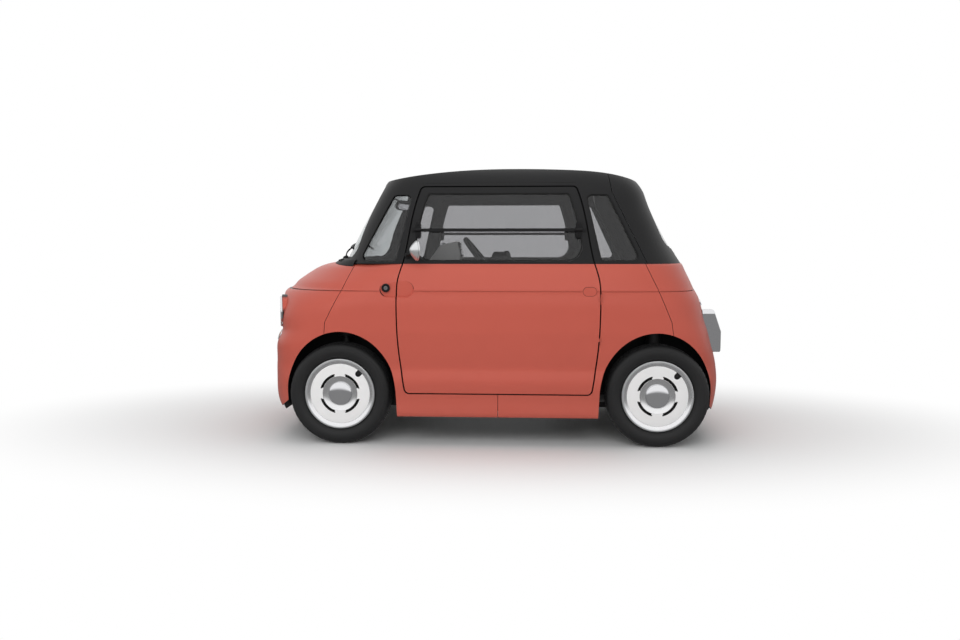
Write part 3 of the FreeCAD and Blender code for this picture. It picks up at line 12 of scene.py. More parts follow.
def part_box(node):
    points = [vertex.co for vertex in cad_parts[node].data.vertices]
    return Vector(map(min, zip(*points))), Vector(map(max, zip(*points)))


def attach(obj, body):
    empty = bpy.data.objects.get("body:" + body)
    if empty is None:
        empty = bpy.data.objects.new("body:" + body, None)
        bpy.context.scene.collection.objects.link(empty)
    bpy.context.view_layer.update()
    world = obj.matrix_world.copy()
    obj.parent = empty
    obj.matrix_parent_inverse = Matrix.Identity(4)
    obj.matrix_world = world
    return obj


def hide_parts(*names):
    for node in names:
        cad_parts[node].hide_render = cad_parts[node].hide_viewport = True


bl_info = {
    "name": "Microcar looks",
    "version": (1, 0, 0),
    "blender": (4, 5, 0),
    "location": "View3D > Sidebar > Microcar",
    "description": "Paint, glass, wheels, lamps and trim of a small two-seat car",
    "category": "Object",
}

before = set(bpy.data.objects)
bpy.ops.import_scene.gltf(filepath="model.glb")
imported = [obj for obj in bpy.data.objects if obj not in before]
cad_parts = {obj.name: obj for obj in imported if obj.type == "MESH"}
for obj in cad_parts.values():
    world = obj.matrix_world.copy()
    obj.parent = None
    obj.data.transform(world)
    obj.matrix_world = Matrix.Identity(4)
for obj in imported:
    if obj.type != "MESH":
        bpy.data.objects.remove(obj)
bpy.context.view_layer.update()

SIDES = (("left", 1), ("right", -1))
ENDS = ("front", "rear")
# Directions, the middle of both doors, and the distances beside and past the car from which rays start
FORWARD = Vector((1, 0, 0))
LEFT = Vector((0, 1, 0))
UP = Vector((0, 0, 1))
DOOR_MIDDLE_X = -0.030
OUTSIDE = 1.5
PAST_END = 1.6
# Middle of the car for the mask of outer faces, and how much its length counts there
CAR_MIDDLE = (0.0, 0.0, 0.52)
CAR_SQUEEZE = (0.35, 1.0, 1.0)


# Settings

def colour(name, description, default):
    """Colour setting, as linear red, green and blue."""
    return FloatVectorProperty(name=name, description=description, default=default,
                               subtype="COLOR", size=3, min=0.0, max=1.0)


def length(name, description, default):
    """Length setting in metres."""
    return FloatProperty(name=name, description=description, default=default,
                         unit="LENGTH", subtype="DISTANCE", min=0.0, precision=4)


class PaintSettings(bpy.types.PropertyGroup):
    """Body and frame finishes."""
    body: colour("Body", "Colour of the moulded body panels", (0.560, 0.108, 0.074))
    # Edges: near-black, painted shade on panel edges and cut faces so gaps read dark, and the trim colour of
    # inner faces
    inner: colour("Edges", "Colour of panel edges and inner faces", (0.012, 0.012, 0.013))
    black: colour("Frame", "Colour of the window frames and the rear hood", (0.010, 0.010, 0.0105))
    roof: colour("Roof", "Colour of the roof panel", (0.0025, 0.0025, 0.0028))
    gloss: FloatProperty(name="Body roughness", description="How dull the body paint is",
                         default=0.42, min=0.0, max=1.0, subtype="FACTOR")


class WheelSettings(bpy.types.PropertyGroup):
    """Wheel covers and tyres."""
    cover: colour("Cover", "Colour of the flat wheel cover", (0.93, 0.93, 0.93))
    rim_radius: length("Rim radius", "Outer radius of the rim lip", 0.1935)
    ring_radius: length("Ring radius", "Inner radius of the grey ring", 0.165)
    hub_radius: length("Hub radius", "Radius where the conical hub ring starts", 0.097)
    cap_radius: length("Cap radius", "Radius of the domed cap", 0.064)
    slot_width: length("Slot width", "Radial width of the four arc slots", 0.015)
    slot_depth: length("Slot depth", "How deep the arc slots go", 0.014)
    groove_depth: length("Groove depth", "Depth of the tread grooves", 0.007)
    tread_blocks: IntProperty(name="Tread blocks", description="Blocks round the tread",
                              default=48, min=12, max=72)


class GlassSettings(bpy.types.PropertyGroup):
    """Panes."""
    smoke: colour("Smoked panes", "Tint of the side panes and the rear window", (0.54, 0.54, 0.55))
    screen: colour("Windscreen", "Tint of the windscreen", (0.70, 0.74, 0.74))


class CabinSettings(bpy.types.PropertyGroup):
    """Seats and dash."""
    cloth: colour("Seat cloth", "Main colour of the seat cloth", (0.045, 0.046, 0.052))
    piping: colour("Seat piping", "Colour of the seams along the seats", (0.30, 0.30, 0.31))
    dash: colour("Dash", "Colour of the dash and trim", (0.022, 0.022, 0.024))
    pod: colour("Instrument pod", "Colour of the pod behind the steering wheel", (0.72, 0.72, 0.70))
    weave: length("Weave pitch", "Distance between threads of the seat cloth", 0.0022)


class StageSettings(bpy.types.PropertyGroup):
    """Light and floor."""
    ambient: FloatProperty(name="Ambient", description="Strength of the soft light all round",
                           default=0.36, min=0.0, max=3.0)
    key: FloatProperty(name="Key light", description="Power of the large lamp on the camera's side",
                       default=85.0, min=0.0, max=2000.0, unit="POWER")
    top: FloatProperty(name="Top light", description="Power of the large lamp overhead",
                       default=55.0, min=0.0, max=2000.0, unit="POWER")
    floor: colour("Floor", "Colour of the floor", (0.86, 0.86, 0.86))


SETTINGS = {
    "car_paint": PaintSettings, "car_wheels": WheelSettings, "car_glass": GlassSettings,
    "car_cabin": CabinSettings, "car_stage": StageSettings,
}


def settings(name):
    """One group of settings of the scene."""
    return getattr(bpy.context.scene, name)


# Node groups shared by the materials

def node_group(name, inputs, outputs):
    """Empty shader node group with its sockets."""
    group = bpy.data.node_groups.new(name, "ShaderNodeTree")
    kinds = {"colour": "NodeSocketColor", "value": "NodeSocketFloat"}
    for label, kind, default in inputs:
        socket = group.interface.new_socket(name=label, in_out="INPUT", socket_type=kinds[kind])
        socket.default_value = default
    for label, kind in outputs:
        group.interface.new_socket(name=label, in_out="OUTPUT", socket_type=kinds[kind])
    return group, group.nodes.new("NodeGroupInput"), group.nodes.new("NodeGroupOutput")


def given_to(tree, socket, value):
    """Link or set an input."""
    if isinstance(value, bpy.types.NodeSocket):
        tree.links.new(value, socket)
    else:
        socket.default_value = value


def maths(tree, operation, *values):
    """Math node with its inputs linked or set; gives its output."""
    node = tree.nodes.new("ShaderNodeMath")
    node.operation = operation
    for socket, value in zip(node.inputs, values):
        given_to(tree, socket, value)
    return node.outputs[0]


def vector_maths(tree, operation, first, second=None):
    """Vector math node; gives the node."""
    node = tree.nodes.new("ShaderNodeVectorMath")
    node.operation = operation
    tree.links.new(first, node.inputs[0])
    if second is not None:
        given_to(tree, node.inputs["Scale" if operation == "SCALE" else 1], second)
    return node


def smooth_ramp(tree, value, limits):
    """Smooth ramp between named limits; gives its output."""
    node = tree.nodes.new("ShaderNodeMapRange")
    node.interpolation_type = "SMOOTHSTEP"
    tree.links.new(value, node.inputs["Value"])
    for label, limit in limits:
        given_to(tree, node.inputs[label], limit)
    return node.outputs[0]


def blended(tree, share, first, second):
    """Shader mix node; gives its output."""
    node = tree.nodes.new("ShaderNodeMixShader")
    for socket, value in zip(node.inputs, (share, first, second)):
        tree.links.new(value, socket)
    return node.outputs[0]


def roughened(tree, height, strength, distance):
    """Bump of a height on the shader of a material."""
    bump = tree.nodes.new("ShaderNodeBump")
    bump.inputs["Strength"].default_value = strength
    bump.inputs["Distance"].default_value = distance
    tree.links.new(height, bump.inputs["Height"])
    tree.links.new(bump.outputs[0], tree.nodes["Principled BSDF"].inputs["Normal"])


def mixed(tree, share, first, second):
    """Colour mix node; gives its output."""
    node = tree.nodes.new("ShaderNodeMix")
    node.data_type = "RGBA"
    for socket, value in zip((node.inputs[0], node.inputs[6], node.inputs[7]), (share, first, second)):
        given_to(tree, socket, value)
    return node.outputs[2]


def noise(tree, vector, scale, detail=2.0):
    """Noise from a vector; gives its value output."""
    node = tree.nodes.new("ShaderNodeTexNoise")
    node.inputs["Detail"].default_value = detail
    tree.links.new(vector, node.inputs["Vector"])
    given_to(tree, node.inputs["Scale"], scale)
    return node.outputs[0]


def object_space(tree):
    """Texture coordinate node of a tree."""
    return tree.nodes.new("ShaderNodeTexCoord")


def surface_group():
    """Slow colour and roughness drift, and fine grain as a height."""
    group, given, result = node_group(
        "surface_variation",
        [("Colour", "colour", (0.5, 0.5, 0.5, 1.0)), ("Drift", "value", 0.05), ("Patches", "value", 4.0),
         ("Roughness", "value", 0.5), ("Rub", "value", 0.05), ("Grain", "value", 400.0)],
        [("Colour", "colour"), ("Roughness", "value"), ("Height", "value")])
    place = object_space(group).outputs["Object"]
    slow = noise(group, place, given.outputs["Patches"], 3.0)
    fine = noise(group, place, given.outputs["Grain"], 1.0)
    share = maths(group, "MULTIPLY", maths(group, "SUBTRACT", slow, 0.5), given.outputs["Drift"])
    darker = maths(group, "ADD", maths(group, "MULTIPLY", share, 2.0), 1.0)
    scaled = vector_maths(group, "SCALE", given.outputs["Colour"], darker)
    rub = maths(group, "MULTIPLY", maths(group, "SUBTRACT", slow, 0.5), given.outputs["Rub"])
    group.links.new(scaled.outputs[0], result.inputs["Colour"])
    group.links.new(maths(group, "ADD", given.outputs["Roughness"], rub), result.inputs["Roughness"])
    group.links.new(fine, result.inputs["Height"])
    return group


def outside_group():
    """Mask that is 1 on faces that look away from the middle of the car, 0 on edges and inner faces."""
    group, given, result = node_group("outer_face", [("Start", "value", 0.57), ("End", "value", 0.63)],
                                      [("Mask", "value")])
    space = object_space(group)
    away = vector_maths(group, "SUBTRACT", space.outputs["Object"], CAR_MIDDLE)
    squeezed = vector_maths(group, "MULTIPLY", away.outputs[0], CAR_SQUEEZE)
    outward = vector_maths(group, "NORMALIZE", squeezed.outputs[0])
    facing = vector_maths(group, "DOT_PRODUCT", outward.outputs[0], space.outputs["Normal"])
    limits = (("From Min", given.outputs["Start"]), ("From Max", given.outputs["End"]))
    group.links.new(smooth_ramp(group, facing.outputs["Value"], limits), result.inputs["Mask"])
    return group


def dust_group():
    """Pale road film that thins out upwards."""
    group, given, result = node_group(
        "road_film", [("Colour", "colour", (0.5, 0.5, 0.5, 1.0)), ("Amount", "value", 0.15),
                      ("Top", "value", 0.5)], [("Colour", "colour")])
    space = object_space(group)
    split = group.nodes.new("ShaderNodeSeparateXYZ")
    group.links.new(space.outputs["Object"], split.inputs[0])
    height = maths(group, "DIVIDE", split.outputs[2], given.outputs["Top"])
    low = maths(group, "SUBTRACT", 1.0, height)
    low = maths(group, "MAXIMUM", low, 0.0)
    cloud = noise(group, space.outputs["Object"], 9.0, 4.0)
    share = maths(group, "MULTIPLY", maths(group, "MULTIPLY", low, cloud), given.outputs["Amount"])
    group.links.new(mixed(group, share, given.outputs["Colour"], (0.33, 0.30, 0.26, 1.0)),
                    result.inputs["Colour"])
    return group


def weave_group():
    """Woven cloth: crossing threads as a height and a shade."""
    group, given, result = node_group("woven_cloth", [("Pitch", "value", 0.002)],
                                      [("Height", "value"), ("Shade", "value")])
    space = object_space(group)
    split = group.nodes.new("ShaderNodeSeparateXYZ")
    group.links.new(space.outputs["Object"], split.inputs[0])
    turn = maths(group, "DIVIDE", math.pi, given.outputs["Pitch"])
    across = maths(group, "SINE", maths(group, "MULTIPLY", split.outputs[1], turn))
    slope = maths(group, "ADD", split.outputs[0], split.outputs[2])
    along = maths(group, "SINE", maths(group, "MULTIPLY", slope, turn))
    height = maths(group, "MULTIPLY", across, along)
    shade = maths(group, "MULTIPLY_ADD", height, 0.25, 0.75)
    group.links.new(height, result.inputs["Height"])
    group.links.new(shade, result.inputs["Shade"])
    return group


GROUPS = {}


def shared(name):
    """A shared node group, built on first use."""
    makers = {"surface": surface_group, "outside": outside_group, "dust": dust_group, "weave": weave_group}
    if name not in GROUPS:
        GROUPS[name] = makers[name]()
    return GROUPS[name]


def placed(tree, name, **values):
    """Node that uses a shared group, with its values."""
    node = tree.nodes.new("ShaderNodeGroup")
    node.node_tree = shared(name)
    for label, value in values.items():
        given_to(tree, node.inputs[label.replace("_", " ")], value)
    return node


MATERIALS = {}


def finish(name, tint, roughness, metallic=0.0, drift=0.05, patches=4.0, rub=0.05, grain=400.0,
           relief=0.0, dust=0.0, dust_top=0.5, **sockets):
    """Material with drift, fine relief and road film; further sockets are set on the shader."""
    if name in MATERIALS:
        return MATERIALS[name]
    material = bpy.data.materials.new(name)
    material.use_nodes = True
    tree = material.node_tree
    shader = tree.nodes["Principled BSDF"]
    shader.inputs["Metallic"].default_value = metallic
    for label, value in sockets.items():
        shader.inputs[label.replace("_", " ")].default_value = value
    base = placed(tree, "surface", Colour=(*tint, 1.0), Drift=drift, Patches=patches,
                  Roughness=roughness, Rub=rub, Grain=grain)
    result = base.outputs["Colour"]
    if dust:
        result = placed(tree, "dust", Colour=result, Amount=dust, Top=dust_top).outputs["Colour"]
    tree.links.new(result, shader.inputs["Base Color"])
    tree.links.new(base.outputs["Roughness"], shader.inputs["Roughness"])
    if relief:
        roughened(tree, base.outputs["Height"], relief, 0.001)
    MATERIALS[name] = material
    return material


def body_paint_and_edge_shade():
    """Satin coral paint outside; near-black on edges as painted gap shade, and as dark trim on inner faces.
    """
    if "body_paint_and_edge_shade" in MATERIALS:
        return MATERIALS["body_paint_and_edge_shade"]
    paint = settings("car_paint")
    material = finish("body_paint_and_edge_shade", tuple(paint.body), paint.gloss, drift=0.025, patches=2.2, rub=0.05,
                      grain=260.0, relief=0.012, dust=0.10, dust_top=0.42,
                      Coat_Weight=0.14, Coat_Roughness=0.14, Specular_IOR_Level=0.26)
    tree = material.node_tree
    shader = tree.nodes["Principled BSDF"]
    link = shader.inputs["Base Color"].links[0]
    outer = placed(tree, "outside")
    # Edges and cut faces get the near-black as painted shade; inner faces get it as their dark trim colour
    result = mixed(tree, outer.outputs["Mask"], (*paint.inner, 1.0), link.from_socket)
    tree.links.new(result, shader.inputs["Base Color"])
    return material


def seat_cloth(name, tint):
    """Woven seat cloth."""
    if name in MATERIALS:
        return MATERIALS[name]
    material = finish(name, tint, 0.92, drift=0.08, patches=6.0, rub=0.02, Sheen_Weight=0.35,
                      Sheen_Roughness=0.4, Specular_IOR_Level=0.25)
    tree = material.node_tree
    shader = tree.nodes["Principled BSDF"]
    weave = placed(tree, "weave", Pitch=settings("car_cabin").weave)
    link = shader.inputs["Base Color"].links[0]
    shaded = vector_maths(tree, "SCALE", link.from_socket, weave.outputs["Shade"])
    tree.links.new(shaded.outputs[0], shader.inputs["Base Color"])
    roughened(tree, weave.outputs["Height"], 0.5, 0.0006)
    return material


def pane(name, tint, roughness=0.0):
    """Tinted pane that light and lamps pass through, its tint drifting a little."""
    if name in MATERIALS:
        return MATERIALS[name]
    material = finish(name, tint, roughness, drift=0.02, patches=3.0, rub=0.0, grain=30.0,
                      Transmission_Weight=1.0, IOR=1.45)
    tree = material.node_tree
    clear = tree.nodes.new("ShaderNodeBsdfTransparent")
    clear.inputs["Color"].default_value = (*(math.sqrt(part) for part in tint), 1.0)
    path = tree.nodes.new("ShaderNodeLightPath")
    result = blended(tree, path.outputs["Is Shadow Ray"], tree.nodes["Principled BSDF"].outputs[0],
                     clear.outputs[0])
    tree.links.new(result, tree.nodes["Material Output"].inputs["Surface"])
    return material


def black_frame():
    """Grained black plastic of the window frames."""
    return finish("frame_black", tuple(settings("car_paint").black), 0.46, drift=0.08, grain=700.0,
                  relief=0.05, Specular_IOR_Level=0.25)


def black_plastic():
    """Dull black moulded plastic."""
    return finish("plastic_black", (0.007, 0.007, 0.0075), 0.55, drift=0.10, grain=500.0, relief=0.10,
                  dust=0.04, dust_top=0.5, Specular_IOR_Level=0.28)


def rubber():
    """Tyre rubber."""
    return finish("tyre_rubber", (0.014, 0.014, 0.0145), 0.60, drift=0.12, patches=7.0, rub=0.10,
                  grain=900.0, relief=0.08, Specular_IOR_Level=0.42)


def seal_rubber():
    """Soft black rubber of seals."""
    return finish("seal_rubber", (0.010, 0.010, 0.010), 0.75, drift=0.06, grain=800.0, relief=0.05)


LENS_SPLIT_Z = 0.665


def lamp_lens():
    """Ribbed lens of the tail lamps: a clear bright part above, red below."""
    if "red_lens" in MATERIALS:
        return MATERIALS["red_lens"]
    material = finish("red_lens", (0.30, 0.006, 0.008), 0.10, drift=0.08, patches=20.0,
                      Coat_Weight=0.8, Coat_Roughness=0.04)
    tree = material.node_tree
    shader = tree.nodes["Principled BSDF"]
    link = shader.inputs["Base Color"].links[0]
    split = tree.nodes.new("ShaderNodeSeparateXYZ")
    tree.links.new(object_space(tree).outputs["Object"], split.inputs[0])
    clear = maths(tree, "GREATER_THAN", split.outputs[2], LENS_SPLIT_Z)
    away = maths(tree, "ABSOLUTE", maths(tree, "SUBTRACT", split.outputs[2], LENS_SPLIT_Z))
    line = maths(tree, "LESS_THAN", away, 0.002)
    zones = mixed(tree, clear, link.from_socket, (0.72, 0.73, 0.75, 1.0))
    tree.links.new(mixed(tree, line, zones, (0.02, 0.02, 0.02, 1.0)), shader.inputs["Base Color"])
    ribs = placed(tree, "weave", Pitch=0.006)
    roughened(tree, ribs.outputs["Height"], 0.6, 0.0015)
    return material


def chrome():
    """Polished trim."""
    return finish("chrome", (0.78, 0.78, 0.80), 0.09, metallic=1.0, drift=0.02, rub=0.03)


def mirror_glass():
    """Silvered mirror glass."""
    return finish("mirror_glass", (0.85, 0.86, 0.88), 0.02, metallic=1.0, drift=0.01, rub=0.01)


def silver():
    """Satin silver paint."""
    return finish("satin_silver", (0.78, 0.79, 0.80), 0.28, metallic=0.85, drift=0.03, rub=0.04,
                  grain=1200.0, relief=0.01)


def steel():
    """Painted steel of the running gear."""
    return finish("painted_steel", (0.035, 0.035, 0.037), 0.48, metallic=0.4, drift=0.20, patches=9.0,
                  rub=0.15, grain=300.0, relief=0.08, dust=0.25, dust_top=0.7)


def bare_steel():
    """Bare machined steel, a little rusty."""
    return finish("bare_steel", (0.33, 0.31, 0.29), 0.38, metallic=1.0, drift=0.25, patches=12.0, rub=0.2,
                  grain=500.0, relief=0.05)


def dash_plastic():
    """Grained plastic of the dash."""
    return finish("dash_plastic", tuple(settings("car_cabin").dash), 0.62, drift=0.06, grain=900.0,
                  relief=0.16)


# Modelling helpers

def cleaned(shape, distance=0.00001):
    """Merge doubles and point the faces outwards."""
    bmesh.ops.remove_doubles(shape, verts=shape.verts, dist=distance)
    bmesh.ops.recalc_face_normals(shape, faces=shape.faces)
    return shape


def sharp_edges(shape, angle=35.0):
    """Edges between faces that meet at more than an angle in degrees."""
    limit = math.radians(angle)
    return [edge for edge in shape.edges if edge.is_manifold and edge.calc_face_angle(0.0) > limit]


def softened(shape, width, segments=2, angle=35.0):
    """Bevel the sharp edges."""
    bmesh.ops.bevel(shape, geom=sharp_edges(shape, angle), offset=width, affect="EDGES", segments=segments,
                    profile=0.5, material=-1, clamp_overlap=True)
    return shape


def aim(centre, axis, hint=UP):
    """Matrix that puts local +Z on the axis and the origin on the centre."""
    forward = Vector(axis).normalized()
    side = Vector(hint).cross(forward)
    if side.length < 0.001:
        side = FORWARD.cross(forward)
    side.normalize()
    turn = Matrix((side, forward.cross(side), forward)).transposed().to_4x4()
    return Matrix.Translation(Vector(centre)) @ turn


def turned(profile, steps=96, closed=False):
    """Outline of (radius, height) points turned round local Z."""
    shape = bmesh.new()
    verts = [shape.verts.new((radius, 0.0, height)) for radius, height in profile]
    edges = [shape.edges.new(pair) for pair in zip(verts, verts[1:])]
    if closed:
        edges.append(shape.edges.new((verts[-1], verts[0])))
    bmesh.ops.spin(shape, geom=verts + edges, cent=(0, 0, 0), axis=(0, 0, 1), dvec=(0, 0, 0),
                   angle=math.tau, steps=steps, use_merge=True, use_normal_flip=False, use_duplicate=False)
    return cleaned(shape)


def block(size, bevel=0.0, segments=2):
    """Box of a size about the origin with soft edges."""
    shape = bmesh.new()
    bmesh.ops.create_cube(shape, size=1.0, matrix=Matrix.Diagonal((*size, 1.0)))
    if bevel:
        softened(shape, bevel, segments)
    return shape


def plate(outline, thickness, bevel=0.0, segments=2):
    """Flat outline of (x, y) points with a thickness up local Z and soft edges."""
    shape = bmesh.new()
    face = shape.faces.new([shape.verts.new((x, y, 0.0)) for x, y in outline])
    raised = bmesh.ops.extrude_face_region(shape, geom=[face])
    verts = [item for item in raised["geom"] if isinstance(item, bmesh.types.BMVert)]
    bmesh.ops.translate(shape, verts=verts, vec=(0, 0, thickness))
    cleaned(shape)
    if bevel:
        softened(shape, bevel, segments)
    return shape


def upright(outline, low_y, high_y, bevel=0.0, segments=3):
    """Side-view outline of (x, z) points, as thick as from low_y to high_y, with soft edges."""
    shape = plate(outline, high_y - low_y, bevel, segments)
    return moved(shape, Matrix.Translation((0, high_y, 0)) @ Matrix.Rotation(math.pi / 2, 4, "X"))


def sunk(shape, faces, shift, index=None):
    """Push faces in by a shift, a vector or a function of the point, with walls round them."""
    raised = bmesh.ops.extrude_face_region(shape, geom=faces)
    bmesh.ops.delete(shape, geom=[face for face in faces if face.is_valid], context="FACES_ONLY")
    floor = [item for item in raised["geom"] if isinstance(item, bmesh.types.BMVert)]
    for vert in floor:
        vert.co += shift(vert.co) if callable(shift) else Vector(shift)
    if index is not None:
        for face in {face for vert in floor for face in vert.link_faces}:
            face.material_index = index
    return shape


def stadium(length, height, count=12):
    """Outline with straight long sides and half-round ends."""
    half = (length - height) / 2
    points = []
    for middle, start in ((half, -90.0), (-half, 90.0)):
        for step in range(count + 1):
            angle = math.radians(start + 180.0 * step / count)
            points.append((middle + math.cos(angle) * height / 2, math.sin(angle) * height / 2))
    return points


def curved(points, steps=6, closed=False):
    """Points of a smooth line through the given points."""
    spots = [Vector(point) for point in points]
    count = len(spots)
    line = []
    for index in range(count if closed else count - 1):
        near = [index + shift for shift in (-1, 0, 1, 2)]
        near = [place % count if closed else min(max(place, 0), count - 1) for place in near]
        a, b, c, d = (spots[place] for place in near)
        for step in range(steps):
            t = step / steps
            line.append(0.5 * (2 * b + (c - a) * t + (2 * a - 5 * b + 4 * c - d) * t ** 2
                               + (3 * b - 3 * c + d - a) * t ** 3))
    return line if closed else line + spots[-1:]


def swept(points, section, normals=UP, closed=False):
    """Flat section of (across, out) points carried along a line; out leans on the normals."""
    count = len(points)
    rings = []
    for index, spot in enumerate(points):
        before = points[index - 1] if closed or index else spot
        after = points[(index + 1) % count] if closed or index < count - 1 else spot
        along = (after - before).normalized()
        out = normals[index] if isinstance(normals, list) else Vector(normals)
        across = along.cross(out).normalized()
        out = across.cross(along)
        rings.append([spot + across * a + out * b for a, b in section])
    shape = bmesh.new()
    face = shape.faces.new([shape.verts.new(corner) for corner in rings[0]])
    for ring in rings[1:] + (rings[:1] if closed else []):
        face = bmesh.ops.extrude_discrete_faces(shape, faces=[face])["faces"][0]
        for vert, corner in zip(face.verts, ring):
            vert.co = corner
    if closed:
        bmesh.ops.delete(shape, geom=[face], context="FACES_ONLY")
    else:
        bmesh.ops.holes_fill(shape, edges=[edge for edge in shape.edges if edge.is_boundary])
    return cleaned(shape)


def tube(points, radius, normals=UP, closed=False, steps=10):
    """Round bar along a line."""
    section = [(math.cos(math.tau * step / steps) * radius, math.sin(math.tau * step / steps) * radius)
               for step in range(steps)]
    return swept(points, section, normals, closed)


def spread(columns, rows, place, thickness=0.0):
    """Grid of columns by rows cells whose points come from place(u, v), u and v from 0 to 1."""
    shape = bmesh.new()
    bmesh.ops.create_grid(shape, x_segments=columns, y_segments=rows, size=0.5)
    for vert in shape.verts:
        vert.co = place(vert.co.x + 0.5, vert.co.y + 0.5)
    bmesh.ops.recalc_face_normals(shape, faces=shape.faces)
    if thickness:
        bmesh.ops.solidify(shape, geom=list(shape.faces), thickness=thickness)
        bmesh.ops.recalc_face_normals(shape, faces=shape.faces)
    return shape


def oval(width, height, power=2.0, count=32):
    """Points of a rounded outline; a higher power is squarer."""
    points = []
    for index in range(count):
        angle = math.tau * index / count
        c, s = math.cos(angle), math.sin(angle)
        points.append((math.copysign(abs(c) ** (2 / power), c) * width / 2,
                       math.copysign(abs(s) ** (2 / power), s) * height / 2))
    return points


def bar(start, end, width, height, bevel=0.0, hint=UP):
    """Rectangular bar between two points."""
    start, end = Vector(start), Vector(end)
    shape = block((width, height, (end - start).length), bevel)
    bmesh.ops.transform(shape, verts=shape.verts, matrix=aim((start + end) / 2, end - start, hint))
    return shape


def rod(start, end, radius, steps=16):
    """Round bar between two points with soft ends."""
    start, end = Vector(start), Vector(end)
    reach = (end - start).length
    soft = min(radius, reach) * 0.2
    shape = turned([(0, 0), (radius - soft, 0), (radius, soft), (radius, reach - soft),
                    (radius - soft, reach), (0, reach)], steps)
    bmesh.ops.transform(shape, verts=shape.verts, matrix=aim(start, end - start))
    return shape


def coil(radius, wire, pitch, turns, steps=28, round_steps=10):
    """Round-wire spring along local Z."""
    shape = bmesh.new()
    ring = bmesh.ops.create_circle(shape, cap_ends=False, segments=round_steps, radius=wire,
                                   matrix=Matrix.Translation((radius, 0, 0)) @ Matrix.Rotation(math.pi / 2,
                                                                                               4, "X"))
    verts = ring["verts"]
    edges = list({edge for vert in verts for edge in vert.link_edges})
    count = int(turns * steps)
    bmesh.ops.spin(shape, geom=verts + edges, cent=(0, 0, 0), axis=(0, 0, 1), dvec=(0, 0, pitch / steps),
                   angle=math.tau * turns, steps=count, use_merge=False, use_normal_flip=False,
                   use_duplicate=False)
    bmesh.ops.holes_fill(shape, edges=[edge for edge in shape.edges if edge.is_boundary])
    return cleaned(shape)


def moved(shape, matrix):
    """The shape after a transform."""
    bmesh.ops.transform(shape, verts=shape.verts, matrix=matrix)
    if matrix.determinant() < 0:
        bmesh.ops.reverse_faces(shape, faces=shape.faces)
    return shape


def shifted(shape, offset):
    """The shape moved by an offset."""
    return moved(shape, Matrix.Translation(offset))


def joined(*shapes):
    """Several shapes as one bmesh."""
    whole = bmesh.new()
    for shape in shapes:
        part = bpy.data.meshes.new("part")
        shape.to_mesh(part)
        shape.free()
        whole.from_mesh(part)
        bpy.data.meshes.remove(part)
    return whole


def painted(shape, index, test=None):
    """Give faces that pass the test a material index."""
    for face in shape.faces:
        if test is None or test(face.calc_center_median()):
            face.material_index = index
    return shape


def piece(name, shape, body, slot, *materials, stands_for=(), sharp=35.0):
    """Turn a bmesh into an object that rides on a body."""
    mesh = bpy.data.meshes.new(name)
    shape.to_mesh(mesh)
    shape.free()
    mesh.shade_smooth()
    mesh.set_sharp_from_angle(angle=math.radians(sharp))
    for material in materials:
        mesh.materials.append(material)
    thing = bpy.data.objects.new(name, mesh)
    bpy.context.scene.collection.objects.link(thing)
    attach(thing, body)
    if stands_for:
        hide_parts(*stands_for)
    return thing


def dress(node, material):
    """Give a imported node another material."""
    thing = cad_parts[node]
    if not thing.material_slots:
        thing.data.materials.append(material)
    for slot in thing.material_slots:
        slot.material = material


TREES = {}


def tree_of(name):
    """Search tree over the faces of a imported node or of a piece."""
    if name not in TREES:
        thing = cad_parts.get(name) or bpy.data.objects[name]
        corners = [vert.co.copy() for vert in thing.data.vertices]
        TREES[name] = BVHTree.FromPolygons(corners, [tuple(p.vertices) for p in thing.data.polygons])
    return TREES[name]


def touch(name, origin, direction):
    """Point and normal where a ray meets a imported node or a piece."""
    point, normal, _, _ = tree_of(name).ray_cast(Vector(origin), Vector(direction))
    if point is None:
        raise RuntimeError(f"nothing of {name} lies along the ray from {tuple(origin)}")
    return point, normal


def outline_loops(node, sharp=50.0):
    """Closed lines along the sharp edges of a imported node, as lists of points."""
    shape = bmesh.new()
    shape.from_mesh(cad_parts[node].data)
    bmesh.ops.remove_doubles(shape, verts=shape.verts, dist=0.00005)
    shape.edges.index_update()
    left = {edge.index: edge for edge in sharp_edges(shape, sharp)}
    loops = []
    while left:
        line = list(left.pop(min(left)).verts)
        while True:
            ahead = [edge for edge in line[-1].link_edges if edge.index in left]
            if not ahead:
                break
            line.append(left.pop(ahead[0].index).other_vert(line[-1]))
        if line[0] == line[-1] and len(line) > 8:
            loops.append([vert.co.copy() for vert in line[:-1]])
    shape.free()
    return loops


def evened(loop, pitch):
    """The closed line again with its points about a pitch apart."""
    ends = loop[1:] + loop[:1]
    reach = sum((b - a).length for a, b in zip(loop, ends))
    step = reach / round(reach / pitch)
    line, waiting = [], 0.0
    for a, b in zip(loop, ends):
        run = (b - a).length
        while waiting < run - 0.00001:
            line.append(a.lerp(b, waiting / run))
            waiting += step
        waiting -= run
    return line[:round(reach / step)]


def refined(loop, pitch):
    """The closed line with points added between its own, about a pitch apart."""
    line = []
    for spot, ahead in zip(loop, loop[1:] + loop[:1]):
        steps = max(1, round((ahead - spot).length / pitch))
        line += [spot.lerp(ahead, step / steps) for step in range(steps)]
    return line


def middle_of(points):
    """Mean of points."""
    return sum(points, Vector()) / len(points)


class CarOperator:
    """Shared options of the operators."""
    bl_options = {"REGISTER"}


# Stage

CAMERA_PLACE = Vector((-0.169, 5.037, 1.076))
CAMERA_YAW = math.radians(3.08)
CAMERA_PITCH = math.radians(5.05)
CAMERA_LENS = 30.6
CAMERA_SENSOR = 36.0
# Heights of a reflected ray between which the sky brightens, and its two strengths
SKY_RAMP = (("From Min", -0.06), ("From Max", 0.16), ("To Min", 0.25), ("To Max", 1.0))
# Distances from the middle between which the floor fades to white, its reach along the car, and how
# bright it is in reflections
FLOOR_FADE = (("From Min", 0.70), ("From Max", 1.90))
FLOOR_SQUEEZE = (0.55, 1.0, 1.0)
FLOOR_REFLECTED = 0.25


